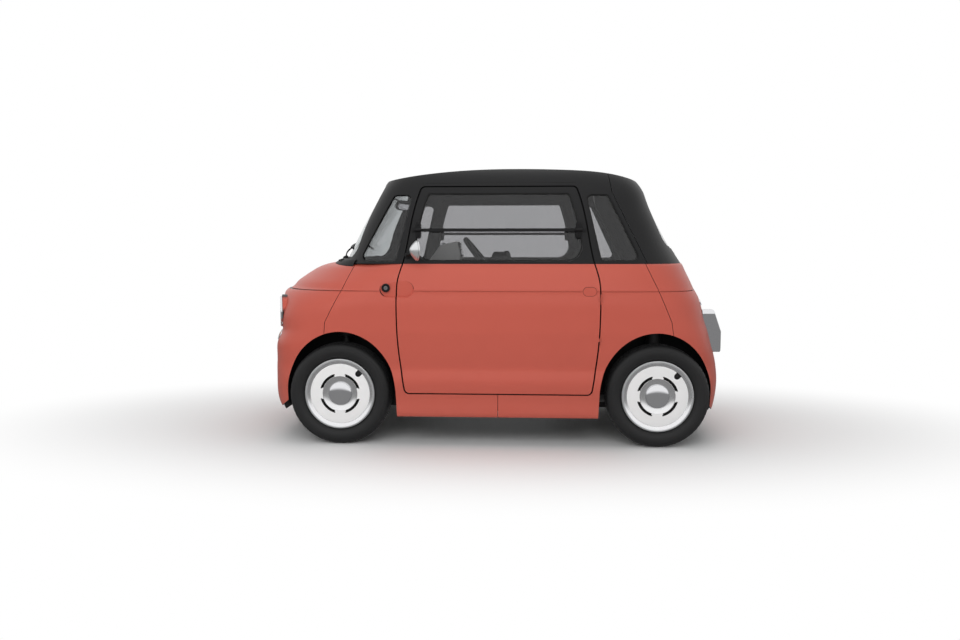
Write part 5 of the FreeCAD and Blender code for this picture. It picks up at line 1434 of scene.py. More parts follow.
class CAR_OT_cowl(CarOperator, bpy.types.Operator):
    """Black cowl in front of the windscreen with its louvres, and the single wiper"""
    bl_idname = "car.cowl"
    bl_label = "Cowl and wiper"

    HALF = 0.560
    DEPTH = 0.066
    RISE = 0.020
    LOUVRES = 22
    PIVOT_Y = 0.100

    def base(self, y):
        """Foot of the cabin at a distance across, where the cowl meets it."""
        return touch("greenhouse_frame", (OUTSIDE, y, 1.004), -FORWARD)[0]

    def place(self, u, v):
        """Point of the cowl: u across from right to left, v from its front edge up to the cabin."""
        y = self.HALF * (2 * u - 1)
        foot = self.base(y)
        depth = self.DEPTH * (1 - (abs(y) / (self.HALF * 1.12)) ** 4)
        front, _ = touch("nose_panel", (foot.x + depth, y, 1.4), -UP)
        front = front + UP * 0.0015
        back = Vector((foot.x + 0.0022, y, max(foot.z, front.z) + self.RISE * 0.5))
        point = front.lerp(back, v)
        point.z += self.RISE * 0.30 * math.sin(math.pi * v) ** 0.8
        return point

    def wiper(self):
        """Arm from its pivot cap, with the blade lying on the glass."""
        pivot = self.place(0.5 + self.PIVOT_Y / self.HALF / 2, 0.55) + UP * 0.001
        cap = moved(turned([(0, -0.004), (0.017, -0.004), (0.0175, 0.006), (0.0150, 0.012), (0.0090, 0.0155),
                            (0, 0.0165)], 32), aim(pivot, UP + FORWARD * 0.3))
        blade_line, glass_line = [], []
        for step in range(25):
            y = 0.36 - 0.66 * step / 24
            z = 1.070 + 0.030 * (1 - ((step - 12) / 12) ** 2)
            point, normal = touch("windscreen", (2.0, y, z), -FORWARD)
            normal = normal if normal.x > 0 else -normal
            glass_line.append(point + normal * 0.0045)
            blade_line.append(point + normal * 0.0115)
        out = Vector((0.80, 0, 0.60))
        rubber_lip = swept(glass_line, [(-0.0012, -0.0044), (0.0012, -0.0044), (0.0026, 0.004),
                                        (-0.0026, 0.004)], out)
        spine = swept(blade_line, [(-0.0065, -0.003), (0.0065, -0.003), (0.0050, 0.003), (0.0010, 0.0065),
                                   (-0.0050, 0.003)], out)
        middle = blade_line[12] + out * 0.009
        arm = swept(curved([pivot + UP * 0.011, pivot.lerp(middle, 0.30) + out * 0.020,
                            pivot.lerp(middle, 0.75) + out * 0.012, middle]),
                    [(-0.0070, -0.0035), (0.0070, -0.0035), (0.0055, 0.0035), (-0.0055, 0.0035)], out)
        clip = moved(block((0.020, 0.034, 0.014), 0.003), aim(middle - out * 0.004, out, LEFT))
        return joined(cap, painted(rubber_lip, 1), spine, arm, clip)

    def execute(self, context):
        skin = spread(64, 8, self.place, 0.0025)
        piece("cowl", skin, "car_body", "black_frame", black_plastic(), sharp=50.0)
        fins = []
        for number in range(self.LOUVRES):
            u = 0.10 + 0.80 * (number + 0.5) / self.LOUVRES
            if abs(u - 0.5 - self.PIVOT_Y / self.HALF / 2) < 0.035:
                continue
            low, high = self.place(u, 0.30), self.place(u, 0.74)
            fins.append(bar(low + UP * 0.0016, high + UP * 0.0016, 0.0060, 0.0036, 0.0012))
        piece("cowl_louvres", joined(*fins), "car_body", "black_frame", seal_rubber())
        piece("wiper", self.wiper(), "car_body", "black_frame", black_plastic(), seal_rubber())
        return {"FINISHED"}


# Seals

class CAR_OT_seals(CarOperator, bpy.types.Operator):
    """Rubber seals along the edge of each pane"""
    bl_idname = "car.seals"
    bl_label = "Window seals"

    PANES = (("windscreen", "car_body", 0.013), ("rear_window", "car_body", 0.013),
             ("quarter_glass_left", "car_body", 0.008), ("quarter_glass_right", "car_body", 0.008),
             ("door_left_glass", "door_left", 0.008), ("door_right_glass", "door_right", 0.008))
    MIDDLE = Vector((-0.1, 0, 0.9))
    HEIGHT = 0.0032
    PITCH = 0.009

    def outer_loops(self, node):
        """Outlines of a pane on its outer face."""
        loops = sorted(outline_loops(node), key=lambda loop: (middle_of(loop) - self.MIDDLE).length)
        outer = []
        for loop in loops:
            close = [other for other in loops if other is not loop
                     and (middle_of(other) - middle_of(loop)).length < 0.03]
            if all((middle_of(other) - self.MIDDLE).length < (middle_of(loop) - self.MIDDLE).length
                   for other in close):
                outer.append(evened(loop, self.PITCH))
        return outer

    def seal(self, node, loop, width):
        """Lip on the glass along a closed line."""
        middle = middle_of(loop)
        normals, turn = [], 0.0
        for index, spot in enumerate(loop):
            inward = (middle - spot).normalized()
            _, normal, _, _ = tree_of(node).find_nearest(spot + inward * 0.02)
            normal = normal if normal.dot(spot - self.MIDDLE) > 0 else -normal
            normals.append(normal)
            along = loop[(index + 1) % len(loop)] - spot
            turn += along.cross(normal).dot(inward)
        way = 1 if turn > 0 else -1
        height = self.HEIGHT
        section = [(-0.0002, -0.0010), (way * width, -0.0010), (way * width, height * 0.25),
                   (way * width * 0.86, height * 0.62), (way * width * 0.5, height * 0.92),
                   (way * width * 0.2, height), (-0.0002, height)]
        return swept(loop, section, normals, True)

    def execute(self, context):
        for node, body, width in self.PANES:
            loops = self.outer_loops(node)
            if not loops:
                raise RuntimeError("no outline found on " + node)
            piece("seal_" + node, joined(*[self.seal(node, loop, width) for loop in loops]), body,
                  "black_frame", seal_rubber(), sharp=50.0)
        return {"FINISHED"}


# Door seals

class CAR_OT_door_seals(CarOperator, bpy.types.Operator):
    """Rubber weather strips round the door openings, inboard of the door gap"""
    bl_idname = "car.door_seals"
    bl_label = "Door seals"

    EDGE = [(0.499, 0.292), (0.532, 0.526), (0.543, 0.804), (0.537, 0.899), (0.511, 0.993), (0.470, 1.201),
            (0.415, 1.405)]
    GAP_MIDDLE = 0.0035
    REACH = 0.014
    CLEAR = 0.0032
    SECTION = [(-0.015, -0.003), (0.019, -0.003), (0.021, 0.001), (0.021, 0.026), (0.013, 0.026),
               (0.012, 0.0), (-0.015, 0.0)]

    def outline(self):
        """Middle line of the door gap as (x, z), once round, with tight corners."""
        front = curved([Vector((DOOR_MIDDLE_X + half + self.GAP_MIDDLE, 0, z)) for half, z in self.EDGE], 6)
        front[0].z -= self.GAP_MIDDLE
        front[-1].z += self.GAP_MIDDLE
        rear = [Vector((2 * DOOR_MIDDLE_X - spot.x, 0, spot.z)) for spot in reversed(front)]
        return refined(front + rear, 0.045)

    def inner_y(self, nodes, x, z, sign):
        """How far out the innermost of some nodes lies, looking outward from the middle of the car."""
        found = []
        for node in nodes:
            point, _, _, _ = tree_of(node).ray_cast(Vector((x, sign * 0.45, z)), LEFT * sign)
            if point is not None:
                found.append(abs(point.y))
        return min(found, default=None)

    def execute(self, context):
        outline = self.outline()
        middle = middle_of(outline)
        for side, sign in SIDES:
            depths = []
            for spot in outline:
                away = (spot - middle).normalized() * self.REACH
                inner, outer = spot - away, spot + away
                door = self.inner_y(("door_" + side + "_shell", "door_" + side + "_frame"), inner.x,
                                    inner.z, sign)
                body = self.inner_y(("greenhouse_frame", "side_panel_" + side), outer.x, outer.z, sign)
                known = [depth for depth in (door, body) if depth is not None]
                depths.append(min(known) - self.CLEAR if known else None)
            known = [(index, depth) for index, depth in enumerate(depths) if depth is not None]
            filled = [min(known, key=lambda item: abs(item[0] - index))[1] for index in range(len(depths))]
            count = len(filled)
            even = [sum(filled[(index + shift) % count] for shift in (-1, 0, 1)) / 3
                    for index in range(count)]
            line = [Vector((spot.x, sign * min(depth, flat), spot.z))
                    for spot, depth, flat in zip(outline, even, filled)]
            way = (line[1] - line[0]).cross(LEFT * sign).dot(line[0] - middle)
            section = [(across if way > 0 else -across, out) for across, out in self.SECTION]
            piece("door_seal_" + side, swept(line, section, LEFT * sign, True), "car_body", "black_frame",
                  seal_rubber(), sharp=50.0)
        return {"FINISHED"}


# Seats

class CAR_OT_seats(CarOperator, bpy.types.Operator):
    """Seats: moulded shells on their pedestals, with padded cloth cushions and piping"""
    bl_idname = "car.seats"
    bl_label = "Seats"

    MIDDLE_Y = 0.295
    HALF = 0.215
    SHELL = [(0.148, 0.334), (0.148, 0.398), (0.100, 0.410), (-0.200, 0.370), (-0.282, 0.394),
             (-0.446, 0.930), (-0.462, 0.966), (-0.498, 0.970), (-0.511, 0.940), (-0.350, 0.362),
             (-0.300, 0.324)]
    BASE_PAD = [(0.100, 0.417), (0.134, 0.406), (0.142, 0.424), (0.120, 0.444), (-0.200, 0.404),
                (-0.226, 0.402), (-0.226, 0.384), (-0.196, 0.379)]
    BACK_PAD = [(-0.280, 0.410), (-0.258, 0.424), (-0.250, 0.446), (-0.404, 0.940), (-0.424, 0.968),
                (-0.448, 0.966), (-0.444, 0.925)]
    EDGE_INSET = 0.026
    BASE_EDGE = [(-0.200, 0), (0.050, 0), (0.108, 0.008), (0.122, 0.040)]
    BACK_EDGE = [(0.460, 0), (0.800, 0), (0.915, 0.006), (0.944, 0.040)]
    BASE_UP = Vector((-0.124, 0, 0.992))
    BACK_OUT = Vector((0.954, 0, 0.300))
    VOXEL = 0.006
    PRESSURE = 4.0
    FRAMES = 20
    MOST_MOVE = 0.012
    SEAM_DEPTH = 0.006
    SEAM_WIDTH = 0.006
    BOLSTER = 0.128

    def slab(self, outline, wider, bevel):
        """Side-view outline as wide as the seat and a bit wider on both sides."""
        reach = self.HALF + wider
        return upright(outline, self.MIDDLE_Y - reach, self.MIDDLE_Y + reach, bevel)

    def start_form(self, name, outline):
        """Cushion before it swells: a soft-edged slab cut into even cells."""
        shape = self.slab(outline, -0.010, 0.009)
        mesh = bpy.data.meshes.new(name)
        shape.to_mesh(mesh)
        shape.free()
        thing = bpy.data.objects.new(name, mesh)
        bpy.context.scene.collection.objects.link(thing)
        grid = thing.modifiers.new("grid", "REMESH")
        grid.mode = "VOXEL"
        grid.voxel_size = self.VOXEL
        even = bpy.data.meshes.new_from_object(thing.evaluated_get(bpy.context.evaluated_depsgraph_get()))
        thing.modifiers.clear()
        thing.data = even
        return thing

    def swell(self, things):
        """Blow the cushions up like cloth bags, each point by no more than the limit."""
        before = [[vert.co.copy() for vert in thing.data.vertices] for thing in things]
        for thing in things:
            cloth = thing.modifiers.new("cloth", "CLOTH")
            cloth.settings.use_pressure = True
            cloth.settings.uniform_pressure_force = self.PRESSURE
            cloth.settings.effector_weights.gravity = 0.0
            cloth.point_cache.frame_start = 1
            cloth.point_cache.frame_end = self.FRAMES
        for number in range(1, self.FRAMES + 1):
            bpy.context.scene.frame_set(number)
        graph = bpy.context.evaluated_depsgraph_get()
        for thing, start in zip(things, before):
            swollen = [vert.co.copy() for vert in thing.evaluated_get(graph).data.vertices]
            thing.modifiers.clear()
            for vert, old, new in zip(thing.data.vertices, start, swollen):
                step = new - old
                vert.co = old + step * min(1.0, self.MOST_MOVE / max(step.length, 0.00001))
        bpy.context.scene.frame_set(1)

    def sewn(self, thing, out, seams):
        """Finer mesh with sewn channels pressed in on the side that faces out."""
        shape = bmesh.new()
        shape.from_mesh(thing.data)
        bmesh.ops.subdivide_edges(shape, edges=shape.edges, cuts=1, use_grid_fill=True)
        for _ in range(2):
            bmesh.ops.smooth_vert(shape, verts=shape.verts, factor=0.5, use_axis_x=True, use_axis_y=True,
                                  use_axis_z=True)
        shape.normal_update()
        pushes = []
        for vert in shape.verts:
            share = vert.normal.dot(out)
            if share > 0.2:
                away = min(seam(vert.co) for seam in seams)
                depth = self.SEAM_DEPTH * share * math.exp(-(away / self.SEAM_WIDTH) ** 2)
                pushes.append((vert, vert.normal * -depth))
        for vert, push in pushes:
            vert.co += push
        shape.to_mesh(thing.data)
        shape.free()

    def seams(self, place, stations):
        """Distances from the two long seams, and between them from the cross seams at the stations."""
        def long_seam(co):
            return abs(abs(co.y - self.MIDDLE_Y) - self.BOLSTER)

        def cross_seam(co):
            away = min(abs(place(co) - station) for station in stations)
            return math.hypot(away, max(0.0, abs(co.y - self.MIDDLE_Y) - self.BOLSTER))

        return [long_seam, cross_seam]

    def edge_line(self, half, middle):
        """Points (along, across) of a half given as (along, how far in), mirrored past a middle."""
        reach = self.HALF - self.EDGE_INSET
        first = [(along, inset - reach) for along, inset in half]
        return first + [(middle, 0)] + [(along, -across) for along, across in reversed(first)]

    def piping(self, name, corners, out):
        """Cord sewn along a cushion, laid on it from outside along a line of (x, across, z) points."""
        line = []
        for spot in curved([Vector((x, self.MIDDLE_Y + y, z)) for x, y, z in corners], 8):
            point, normal = touch(name, spot + out, -out)
            line.append(point + normal * 0.0006)
        return tube(line, 0.0026, out, steps=8)

    def pedestal(self):
        """Steel foot on two slide rails."""
        y = self.MIDDLE_Y
        box_part = shifted(block((0.360, 0.330, 0.120), 0.012), (-0.095, y, 0.282))
        parts = [box_part]
        for side in (-1, 1):
            rail = shifted(block((0.400, 0.036, 0.022), 0.004), (-0.095, y + side * 0.150, 0.217))
            parts.append(painted(rail, 1))
            for x in (-0.270, 0.080):
                head = turned([(0, 0), (0.0105, 0), (0.0105, 0.003), (0.0080, 0.0065), (0, 0.0065)], 6)
                parts.append(painted(shifted(head, (x, y + side * 0.150, 0.2275)), 1))
        handle = tube(curved([(0.020, y - 0.10, 0.262), (0.130, y - 0.10, 0.286), (0.166, y - 0.07, 0.300),
                              (0.172, y, 0.302), (0.166, y + 0.07, 0.300), (0.130, y + 0.10, 0.286),
                              (0.020, y + 0.10, 0.262)]), 0.0065, UP, steps=12)
        return joined(*parts, painted(handle, 1))

    def fittings(self):
        """Recliner knob at the door side and belt buckle at the other."""
        y = self.MIDDLE_Y + self.HALF + 0.005
        inner_y = self.MIDDLE_Y - self.HALF - 0.013
        knob = turned([(0, 0), (0.034, 0), (0.036, 0.004), (0.034, 0.014), (0.030, 0.018), (0.012, 0.020),
                       (0, 0.020)], 40)
        knob = moved(knob, aim((-0.300, y, 0.395), LEFT, UP))
        stalk = tube(curved([(-0.235, inner_y + 0.002, 0.330), (-0.228, inner_y, 0.420),
                             (-0.222, inner_y, 0.470)]), 0.006, LEFT, steps=10)
        buckle = shifted(block((0.034, 0.018, 0.058), 0.004), (-0.220, inner_y, 0.492))
        button = shifted(block((0.020, 0.010, 0.004), 0.001), (-0.220, inner_y, 0.521))
        return joined(knob, stalk, buckle, painted(button, 1))

    def mirrored(self, shape, sign):
        """The left-hand shape, or its mirror image for the right."""
        return shape if sign > 0 else moved(shape, Matrix.Diagonal((1, -1, 1, 1)))

    def execute(self, context):
        cabin = settings("car_cabin")
        cloth = seat_cloth("seat_cloth", tuple(cabin.cloth))
        edge = seat_cloth("seat_piping", tuple(cabin.piping))
        red = finish("buckle_red", (0.45, 0.02, 0.02), 0.5, drift=0.05)
        base = self.start_form("base_form", self.BASE_PAD)
        back = self.start_form("back_form", self.BACK_PAD)
        self.swell([base, back])
        self.sewn(base, self.BASE_UP, self.seams(lambda co: co.x, (-0.130, -0.040, 0.050)))
        self.sewn(back, self.BACK_OUT, self.seams(lambda co: co.z, (0.530, 0.610, 0.690, 0.770, 0.850)))
        base_line = [(along, across, 0) for along, across in self.edge_line(self.BASE_EDGE, 0.124)]
        back_line = [(0, across, along) for along, across in self.edge_line(self.BACK_EDGE, 0.948)]
        forms = {"base": base, "back": back}
        lines = {"base": self.piping("base_form", base_line, UP),
                 "back": self.piping("back_form", back_line, FORWARD)}
        for side, sign in SIDES:
            shell = self.slab(self.SHELL, 0.005, 0.010)
            piece("seat_shell_" + side, self.mirrored(shell, sign), "car_body", "cabin_plastic",
                  dash_plastic(), stands_for=("seat_" + side,))
            piece("seat_foot_" + side, self.mirrored(self.pedestal(), sign), "car_body", "chassis_steel",
                  steel(), bare_steel())
            piece("seat_fittings_" + side, self.mirrored(self.fittings(), sign), "car_body", "cabin_plastic",
                  dash_plastic(), red)
            for name, form in forms.items():
                shape = bmesh.new()
                shape.from_mesh(form.data)
                pad = piece("seat_" + name + "_pad_" + side, self.mirrored(shape, sign), "car_body",
                            "seat_cloth", cloth, sharp=180.0)
                piece("seat_" + name + "_piping_" + side, self.mirrored(lines[name].copy(), sign),
                      "car_body", "seat_cloth", edge, sharp=60.0)
        for form in forms.values():
            bpy.data.objects.remove(form)
        return {"FINISHED"}


# Dash and steering wheel

class CAR_OT_dash(CarOperator, bpy.types.Operator):
    """Pale instrument pod with its dial, vents, glove tray and switches of the dash"""
    bl_idname = "car.dash"
    bl_label = "Dash"

    POD = [(0.1885, 1.0175), (0.2065, 1.1140), (0.3070, 1.0920), (0.4020, 0.9600), (0.2290, 0.9490)]
    POD_Y = 0.295
    POD_HALF = 0.107
    DIAL = Vector((0.1975, 0.295, 1.066))
    DIAL_OUT = Vector((-0.984, 0, 0.182))
    TICKS = 11

    def rounded(self, outline, radius, count=5):
        """Outline with its corners rounded."""
        points = []
        spots = [Vector(point) for point in outline]
        for index, corner in enumerate(spots):
            back = (spots[index - 1] - corner).normalized() * radius
            ahead = (spots[(index + 1) % len(spots)] - corner).normalized() * radius
            for step in range(count):
                t = step / (count - 1)
                points.append(corner + back * (1 - t) ** 2 + ahead * t ** 2)
        return [tuple(point) for point in points]

    def dial(self):
        """Dark screen in a frame, with a scale of ticks, a needle and two warning lights."""
        frame_part = plate(oval(0.176, 0.078, 6.0, 64), 0.0040, 0.0014)
        screen = painted(shifted(plate(oval(0.162, 0.064, 6.0, 64), 0.0010, 0.0003), (0, 0, 0.0036)), 1)
        parts = [frame_part, screen]
        for number in range(self.TICKS):
            angle = math.radians(210.0 - 240.0 * number / (self.TICKS - 1))
            long_tick = number % 5 == 0
            size = 0.0060 if long_tick else 0.0035
            tick = block((size, 0.0009, 0.0003))
            turn = Matrix.Rotation(angle, 4, "Z") @ Matrix.Translation((0.0245 - size / 2, 0, 0.0047))
            parts.append(painted(moved(tick, turn), 2))
        needle = moved(block((0.021, 0.0010, 0.0004)), Matrix.Rotation(math.radians(140), 4, "Z")
                       @ Matrix.Translation((0.0085, 0, 0.0049)))
        boss = turned([(0, 0.0044), (0.0030, 0.0044), (0.0026, 0.0060), (0, 0.0062)], 20)
        bars = []
        for number in range(5):
            size = (0.0045, 0.0016 + 0.0011 * number, 0.0003)
            offset = (0.044 + 0.0062 * number, -0.010 + 0.00055 * number, 0.0047)
            bars.append(painted(shifted(block(size), offset), 2))
        return joined(*parts, painted(needle, 3), painted(boss, 0), *bars)

    def vent(self):
        """Rectangular air vent with fins, outward along local Z."""
        rim = plate(oval(0.104, 0.052, 6.0, 48), 0.0045, 0.0015)
        hole = painted(shifted(plate(oval(0.092, 0.040, 6.0, 48), 0.0006), (0, 0, 0.0042)), 1)
        fins = [moved(block((0.088, 0.0022, 0.0050), 0.0006),
                      Matrix.Translation((0, y, 0.0062)) @ Matrix.Rotation(math.radians(-28), 4, "X"))
                for y in (-0.014, -0.007, 0.0, 0.007, 0.014)]
        key = shifted(block((0.010, 0.008, 0.007), 0.0015), (0, 0, 0.0080))
        return joined(rim, hole, *fins, key)

    def switches(self):
        """Row of four rocker keys in a frame."""
        rim = plate(oval(0.150, 0.034, 6.0, 48), 0.0035, 0.0012)
        tilt = Matrix.Rotation(math.radians(5), 4, "X")
        keys = [moved(block((0.030, 0.024, 0.006), 0.0018), Matrix.Translation((x, 0, 0.0040)) @ tilt)
                for x in (-0.0525, -0.0175, 0.0175, 0.0525)]
        return joined(rim, *keys)

    def execute(self, context):
        cabin = settings("car_cabin")
        pale = finish("pod_plastic", tuple(cabin.pod), 0.55, drift=0.03, grain=1100.0, relief=0.12)
        glass = finish("dial_glass", (0.006, 0.007, 0.009), 0.06, drift=0.02, Coat_Weight=0.6,
                       Coat_Roughness=0.03)
        white = finish("dial_marks", (0.80, 0.82, 0.84), 0.5, drift=0.02)
        orange = finish("dial_needle", (0.80, 0.12, 0.02), 0.5, drift=0.02)
        outline = self.rounded(self.POD, 0.016)
        pod = upright(outline, self.POD_Y - self.POD_HALF, self.POD_Y + self.POD_HALF, 0.008)
        piece("instrument_pod", pod, "car_body", "cabin_plastic", pale)
        piece("dial", moved(self.dial(), aim(self.DIAL, self.DIAL_OUT, UP)), "car_body", "cabin_plastic",
              dash_plastic(), glass, white, orange)
        dark = seal_rubber()
        for name, y in (("left", 0.490), ("middle_left", 0.070), ("middle_right", -0.070),
                        ("right", -0.490)):
            point, normal = touch("dashboard", (-0.3, y, 0.958), FORWARD)
            place = aim(point - normal * 0.0015, normal, UP)
            piece("vent_" + name, moved(self.vent(), place), "car_body", "cabin_plastic", dash_plastic(),
                  dark)
        point, normal = touch("dashboard", (-0.3, 0.0, 0.900), FORWARD)
        piece("switch_row", moved(self.switches(), aim(point - normal * 0.001, normal, UP)), "car_body",
              "cabin_plastic", dash_plastic())
        tray = []
        for y in [-0.560 + 0.500 * step / 12 for step in range(13)]:
            point, normal = touch("dashboard", (-0.3, y, 0.896), FORWARD)
            tray.append(point + normal * 0.002)
        lip = swept(tray, [(-0.007, -0.006), (0.007, -0.006), (0.007, 0.009), (0.004, 0.013),
                           (-0.004, 0.013), (-0.007, 0.009)], -FORWARD)
        piece("tray_lip", lip, "car_body", "cabin_plastic", pale)
        return {"FINISHED"}


class CAR_OT_steering(CarOperator, bpy.types.Operator):
    """Steering wheel with its grip, three spokes and pad, and the column stalks"""
    bl_idname = "car.steering"
    bl_label = "Steering wheel"

    CENTRE = Vector((0.062, 0.295, 0.988))
    TILT = 38.0
    RADIUS = 0.172
    GRIP = 0.0138

    def wheel(self):
        """Steering wheel about local Z, which points at the driver, local Y up."""
        radius, grip = self.RADIUS, self.GRIP
        ring = turned([(radius + math.cos(math.tau * step / 16) * grip,
                        math.sin(math.tau * step / 16) * grip * 1.08) for step in range(16)], 120,
                      closed=True)
        parts = [painted(ring, 1)]
        for angle in (0.0, 180.0, 270.0):
            turn = Matrix.Rotation(math.radians(angle), 4, "Z")
            line = [turn @ Vector(point) for point in curved([(0.030, 0, -0.010), (0.070, 0, -0.012),
                                                              (0.120, 0, -0.007), (radius, 0, 0)])]
            spoke = swept(line, [(-0.017, -0.004), (0.017, -0.004), (0.017, 0.002), (0.013, 0.005),
                                 (-0.013, 0.005), (-0.017, 0.002)], UP)
            parts.append(spoke)
        hub = turned([(0, -0.058), (0.0400, -0.058), (0.0405, -0.020), (0.0440, -0.010), (0.0440, -0.002),
                      (0.0400, 0.004), (0, 0.004)], 64)
        pad = plate(oval(0.092, 0.076, 3.2, 64), 0.018, 0.005, 3)
        shifted(pad, (0, 0, -0.006))
        groove = turned([(0.0245, 0.0115), (0.0262, 0.0115), (0.0262, 0.0128), (0.0245, 0.0128)], 64,
                        closed=True)
        return joined(*parts, hub, pad, painted(groove, 2))

    def stalk(self, sign):
        """Column stalk with a ribbed knob."""
        arm = tube(curved([(0, 0, 0), (sign * 0.030, 0.002, 0.002), (sign * 0.085, 0.008, 0.006),
                           (sign * 0.118, 0.012, 0.010)]), 0.0045, UP, steps=12)
        knob = rod((sign * 0.092, 0.0095, 0.007), (sign * 0.128, 0.0135, 0.011), 0.0075, 20)
        return joined(arm, knob)

    def execute(self, context):
        tilt = math.radians(self.TILT)
        column = Vector((math.cos(tilt), 0, -math.sin(tilt)))
        grip = finish("grip", (0.012, 0.012, 0.013), 0.60, drift=0.06, rub=0.12, grain=1500.0, relief=0.35,
                      Specular_IOR_Level=0.35)
        place = aim(self.CENTRE, -column, UP)
        piece("steering_wheel_full", moved(self.wheel(), place), "steering", "cabin_plastic",
              dash_plastic(), grip, silver(), stands_for=("steering_wheel",), sharp=40.0)
        root = self.CENTRE + column * 0.115
        for name, sign in (("left", -1), ("right", 1)):
            shape = shifted(self.stalk(sign), (sign * 0.034, 0, 0))
            piece("stalk_" + name, moved(shape, aim(root, -column, UP)), "car_body", "cabin_plastic",
                  dash_plastic())
        return {"FINISHED"}


# Cabin

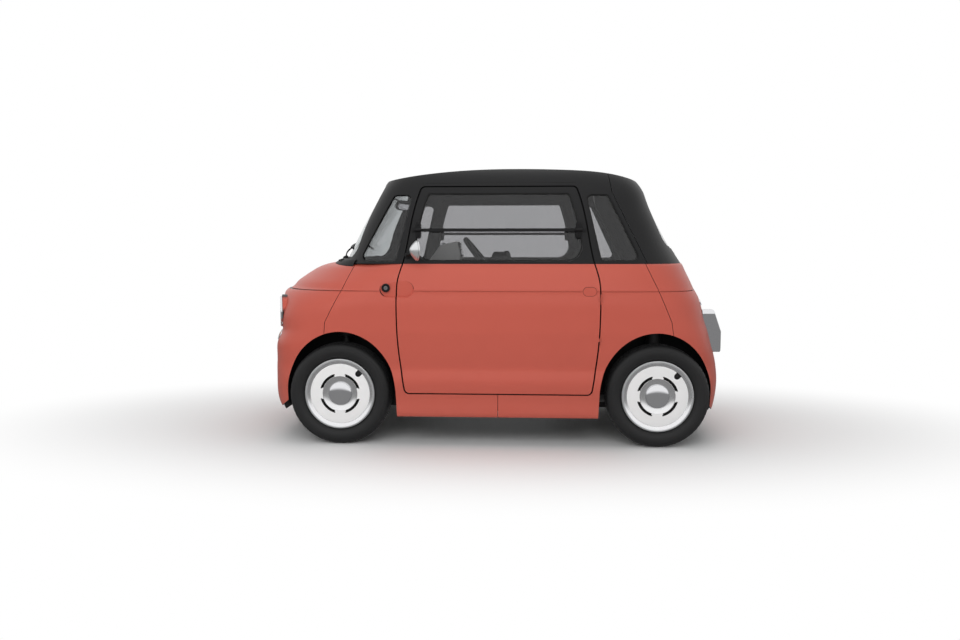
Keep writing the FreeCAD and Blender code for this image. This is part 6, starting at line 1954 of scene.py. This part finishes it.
class CAR_OT_cabin(CarOperator, bpy.types.Operator):
    """Door trims with pulls and latch levers, inside mirror, pedals, selector and floor mats"""
    bl_idname = "car.cabin"
    bl_label = "Cabin fittings"

    MIRROR_OUT = Vector((-0.94, 0.30, -0.10))

    def rising(self, name, origin, direction, hint=UP, sink=0.0):
        """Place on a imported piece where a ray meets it, looking back along the ray."""
        point, normal = touch(name, origin, direction)
        normal = normal if normal.dot(Vector(direction)) < 0 else -normal
        return aim(point - normal * sink, normal, hint)

    def pull(self):
        """Door pull on two feet."""
        grip = tube(curved([(-0.090, 0, 0.004), (-0.084, 0, 0.026), (-0.050, 0, 0.036), (0.050, 0, 0.036),
                            (0.084, 0, 0.026), (0.090, 0, 0.004)]), 0.0090, (0, 1, 0), steps=14)
        feet = [shifted(turned([(0, -0.002), (0.018, -0.002), (0.018, 0.004), (0.013, 0.009), (0, 0.009)],
                               28), (x, 0, 0)) for x in (-0.090, 0.090)]
        return joined(grip, *feet)

    def pocket(self):
        """Open tray on the door, its mouth upward along local Y."""
        tray = block((0.480, 0.120, 0.050), 0.012, 3)
        tops = [face for face in tray.faces if face.normal.y > 0.9]
        bmesh.ops.inset_region(tray, faces=tops, thickness=0.004)
        sunk(tray, tops, (0, -0.095, 0))
        return shifted(cleaned(tray), (0, 0, 0.022))

    def latch(self):
        """Latch lever in its dish."""
        dish = plate(stadium(0.116, 0.052), 0.004, 0.0012)
        lever = swept(curved([(-0.026, 0, 0.004), (-0.010, 0, 0.013), (0.020, 0, 0.015), (0.042, 0, 0.010)]),
                      [(-0.010, -0.0025), (0.010, -0.0025), (0.008, 0.0025), (-0.008, 0.0025)], UP)
        return joined(dish, painted(lever, 1))

    def inside_mirror(self, place):
        """Mirror on its stalk, the glass toward the driver, its foot at a place."""
        foot = turned([(0, -0.002), (0.015, -0.002), (0.016, 0.003), (0.010, 0.010), (0, 0.010)], 32)
        moved(foot, place)
        start = place.translation.copy()
        head = Vector((start.x - 0.085, 0.0, start.z - 0.050))
        stem = tube(curved([start, start.lerp(head, 0.5) + UP * 0.006, head]), 0.0050, LEFT, steps=12)
        back = moved(plate(oval(0.215, 0.062, 3.4, 48), 0.016, 0.005, 3), aim(head, -self.MIRROR_OUT, UP))
        front = aim(head + self.MIRROR_OUT.normalized() * 0.0002, self.MIRROR_OUT, UP)
        glass = moved(plate(oval(0.200, 0.050, 3.4, 48), 0.0012, 0.0004), front)
        return joined(foot, stem, back, painted(glass, 1))

    def pedal(self, width, height):
        """Ribbed pedal pad on its arm, the face along local Z."""
        pad = plate(oval(width, height, 5.0, 36), 0.009, 0.003)
        ribs = [shifted(block((width * 0.78, 0.003, 0.003), 0.0008), (0, y * height, 0.0095))
                for y in (-0.30, -0.15, 0.0, 0.15, 0.30)]
        return joined(painted(pad, 1), *[painted(rib, 1) for rib in ribs])

    def execute(self, context):
        for side, sign in SIDES:
            body, shell = "door_" + side, "door_" + side + "_shell"
            for name, shape, x, z, sink in (("pull", self.pull(), 0.16, 0.80, 0.0),
                                            ("pocket", self.pocket(), 0.0, 0.50, 0.0),
                                            ("latch", self.latch(), 0.40, 0.87, 0.001)):
                place = self.rising(shell, (DOOR_MIDDLE_X + sign * x, 0, z), LEFT * sign, UP, sink)
                piece("door_" + name + "_" + side, moved(shape, place), body, "cabin_plastic",
                      dash_plastic(), silver())
        place = self.rising("windscreen", (0.2, 0, 1.385), FORWARD)
        piece("inside_mirror", self.inside_mirror(place), "car_body", "cabin_plastic", dash_plastic(),
              mirror_glass())
        for name, y, width, height in (("brake", 0.270, 0.086, 0.062), ("drive", 0.165, 0.050, 0.100)):
            wall, _ = touch("floor_tub", (0.30, y, 0.560), FORWARD)
            pad_centre = Vector((wall.x - 0.105, y, 0.330))
            arm = swept(curved([wall + FORWARD * 0.004, wall - FORWARD * 0.050 - UP * 0.030,
                                pad_centre + Vector((0.040, 0, 0.100)), pad_centre + FORWARD * 0.006]),
                        [(-0.006, -0.010), (0.006, -0.010), (0.006, 0.010), (-0.006, 0.010)], LEFT)
            pad = moved(self.pedal(width, height), aim(pad_centre, (-0.88, 0, 0.47), UP))
            piece("pedal_" + name, joined(arm, pad), "car_body", "chassis_steel", steel(), seal_rubber())
        for side, sign in SIDES:
            mat = plate(oval(0.360, 0.270, 7.0, 48), 0.010, 0.003)
            place = self.rising("floor_tub", (0.440, sign * 0.170, 0.40), -UP, LEFT)
            piece("floor_mat_" + side, moved(mat, place), "car_body", "cabin_plastic", seal_rubber())
        knob_place = self.rising("floor_tub", (-0.060, 0, 0.400), -UP, FORWARD)
        base_part = moved(plate(oval(0.100, 0.220, 5.0, 48), 0.100, 0.010, 3), knob_place)
        wheel_part = moved(turned([(0, 0), (0.026, 0), (0.027, 0.004), (0.025, 0.020), (0.021, 0.024),
                                   (0, 0.024)], 40), knob_place @ Matrix.Translation((0, 0.040, 0.100)))
        lever = moved(rod((0, -0.055, 0.096), (0, -0.100, 0.165), 0.0095, 20), knob_place)
        piece("selector", joined(base_part, painted(wheel_part, 1), painted(lever, 0)), "car_body",
              "cabin_plastic", dash_plastic(), silver())
        return {"FINISHED"}


# Panel

OPERATORS = (CAR_OT_stage, CAR_OT_finishes, CAR_OT_tyres, CAR_OT_wheels, CAR_OT_mirrors, CAR_OT_windows,
             CAR_OT_headlamps, CAR_OT_rear_lamps, CAR_OT_locks, CAR_OT_cowl, CAR_OT_seals,
             CAR_OT_door_seals, CAR_OT_seats, CAR_OT_dash, CAR_OT_steering, CAR_OT_cabin)


class CAR_PT_panel(bpy.types.Panel):
    """Sizes, colours and steps of the microcar"""
    bl_label = "Microcar"
    bl_idname = "CAR_PT_panel"
    bl_space_type = "VIEW_3D"
    bl_region_type = "UI"
    bl_category = "Microcar"

    def draw(self, context):
        for name, group in SETTINGS.items():
            values = getattr(context.scene, name)
            part = self.layout.box()
            for key in group.__annotations__:
                part.prop(values, key)
        for operator in OPERATORS:
            self.layout.operator(operator.bl_idname)


def register():
    """Register the classes and hang the settings on the scene."""
    for group in SETTINGS.values():
        bpy.utils.register_class(group)
    for name, group in SETTINGS.items():
        setattr(bpy.types.Scene, name, PointerProperty(type=group))
    for item in (*OPERATORS, CAR_PT_panel):
        bpy.utils.register_class(item)


def unregister():
    """Take the classes and settings away again."""
    for item in (CAR_PT_panel, *reversed(OPERATORS)):
        bpy.utils.unregister_class(item)
    for name in SETTINGS:
        delattr(bpy.types.Scene, name)
    for group in SETTINGS.values():
        bpy.utils.unregister_class(group)


def main():
    """Build the looks."""
    register()
    for operator in OPERATORS:
        group, name = operator.bl_idname.split(".")
        getattr(getattr(bpy.ops, group), name)()


if __name__ == "__main__":
    main()
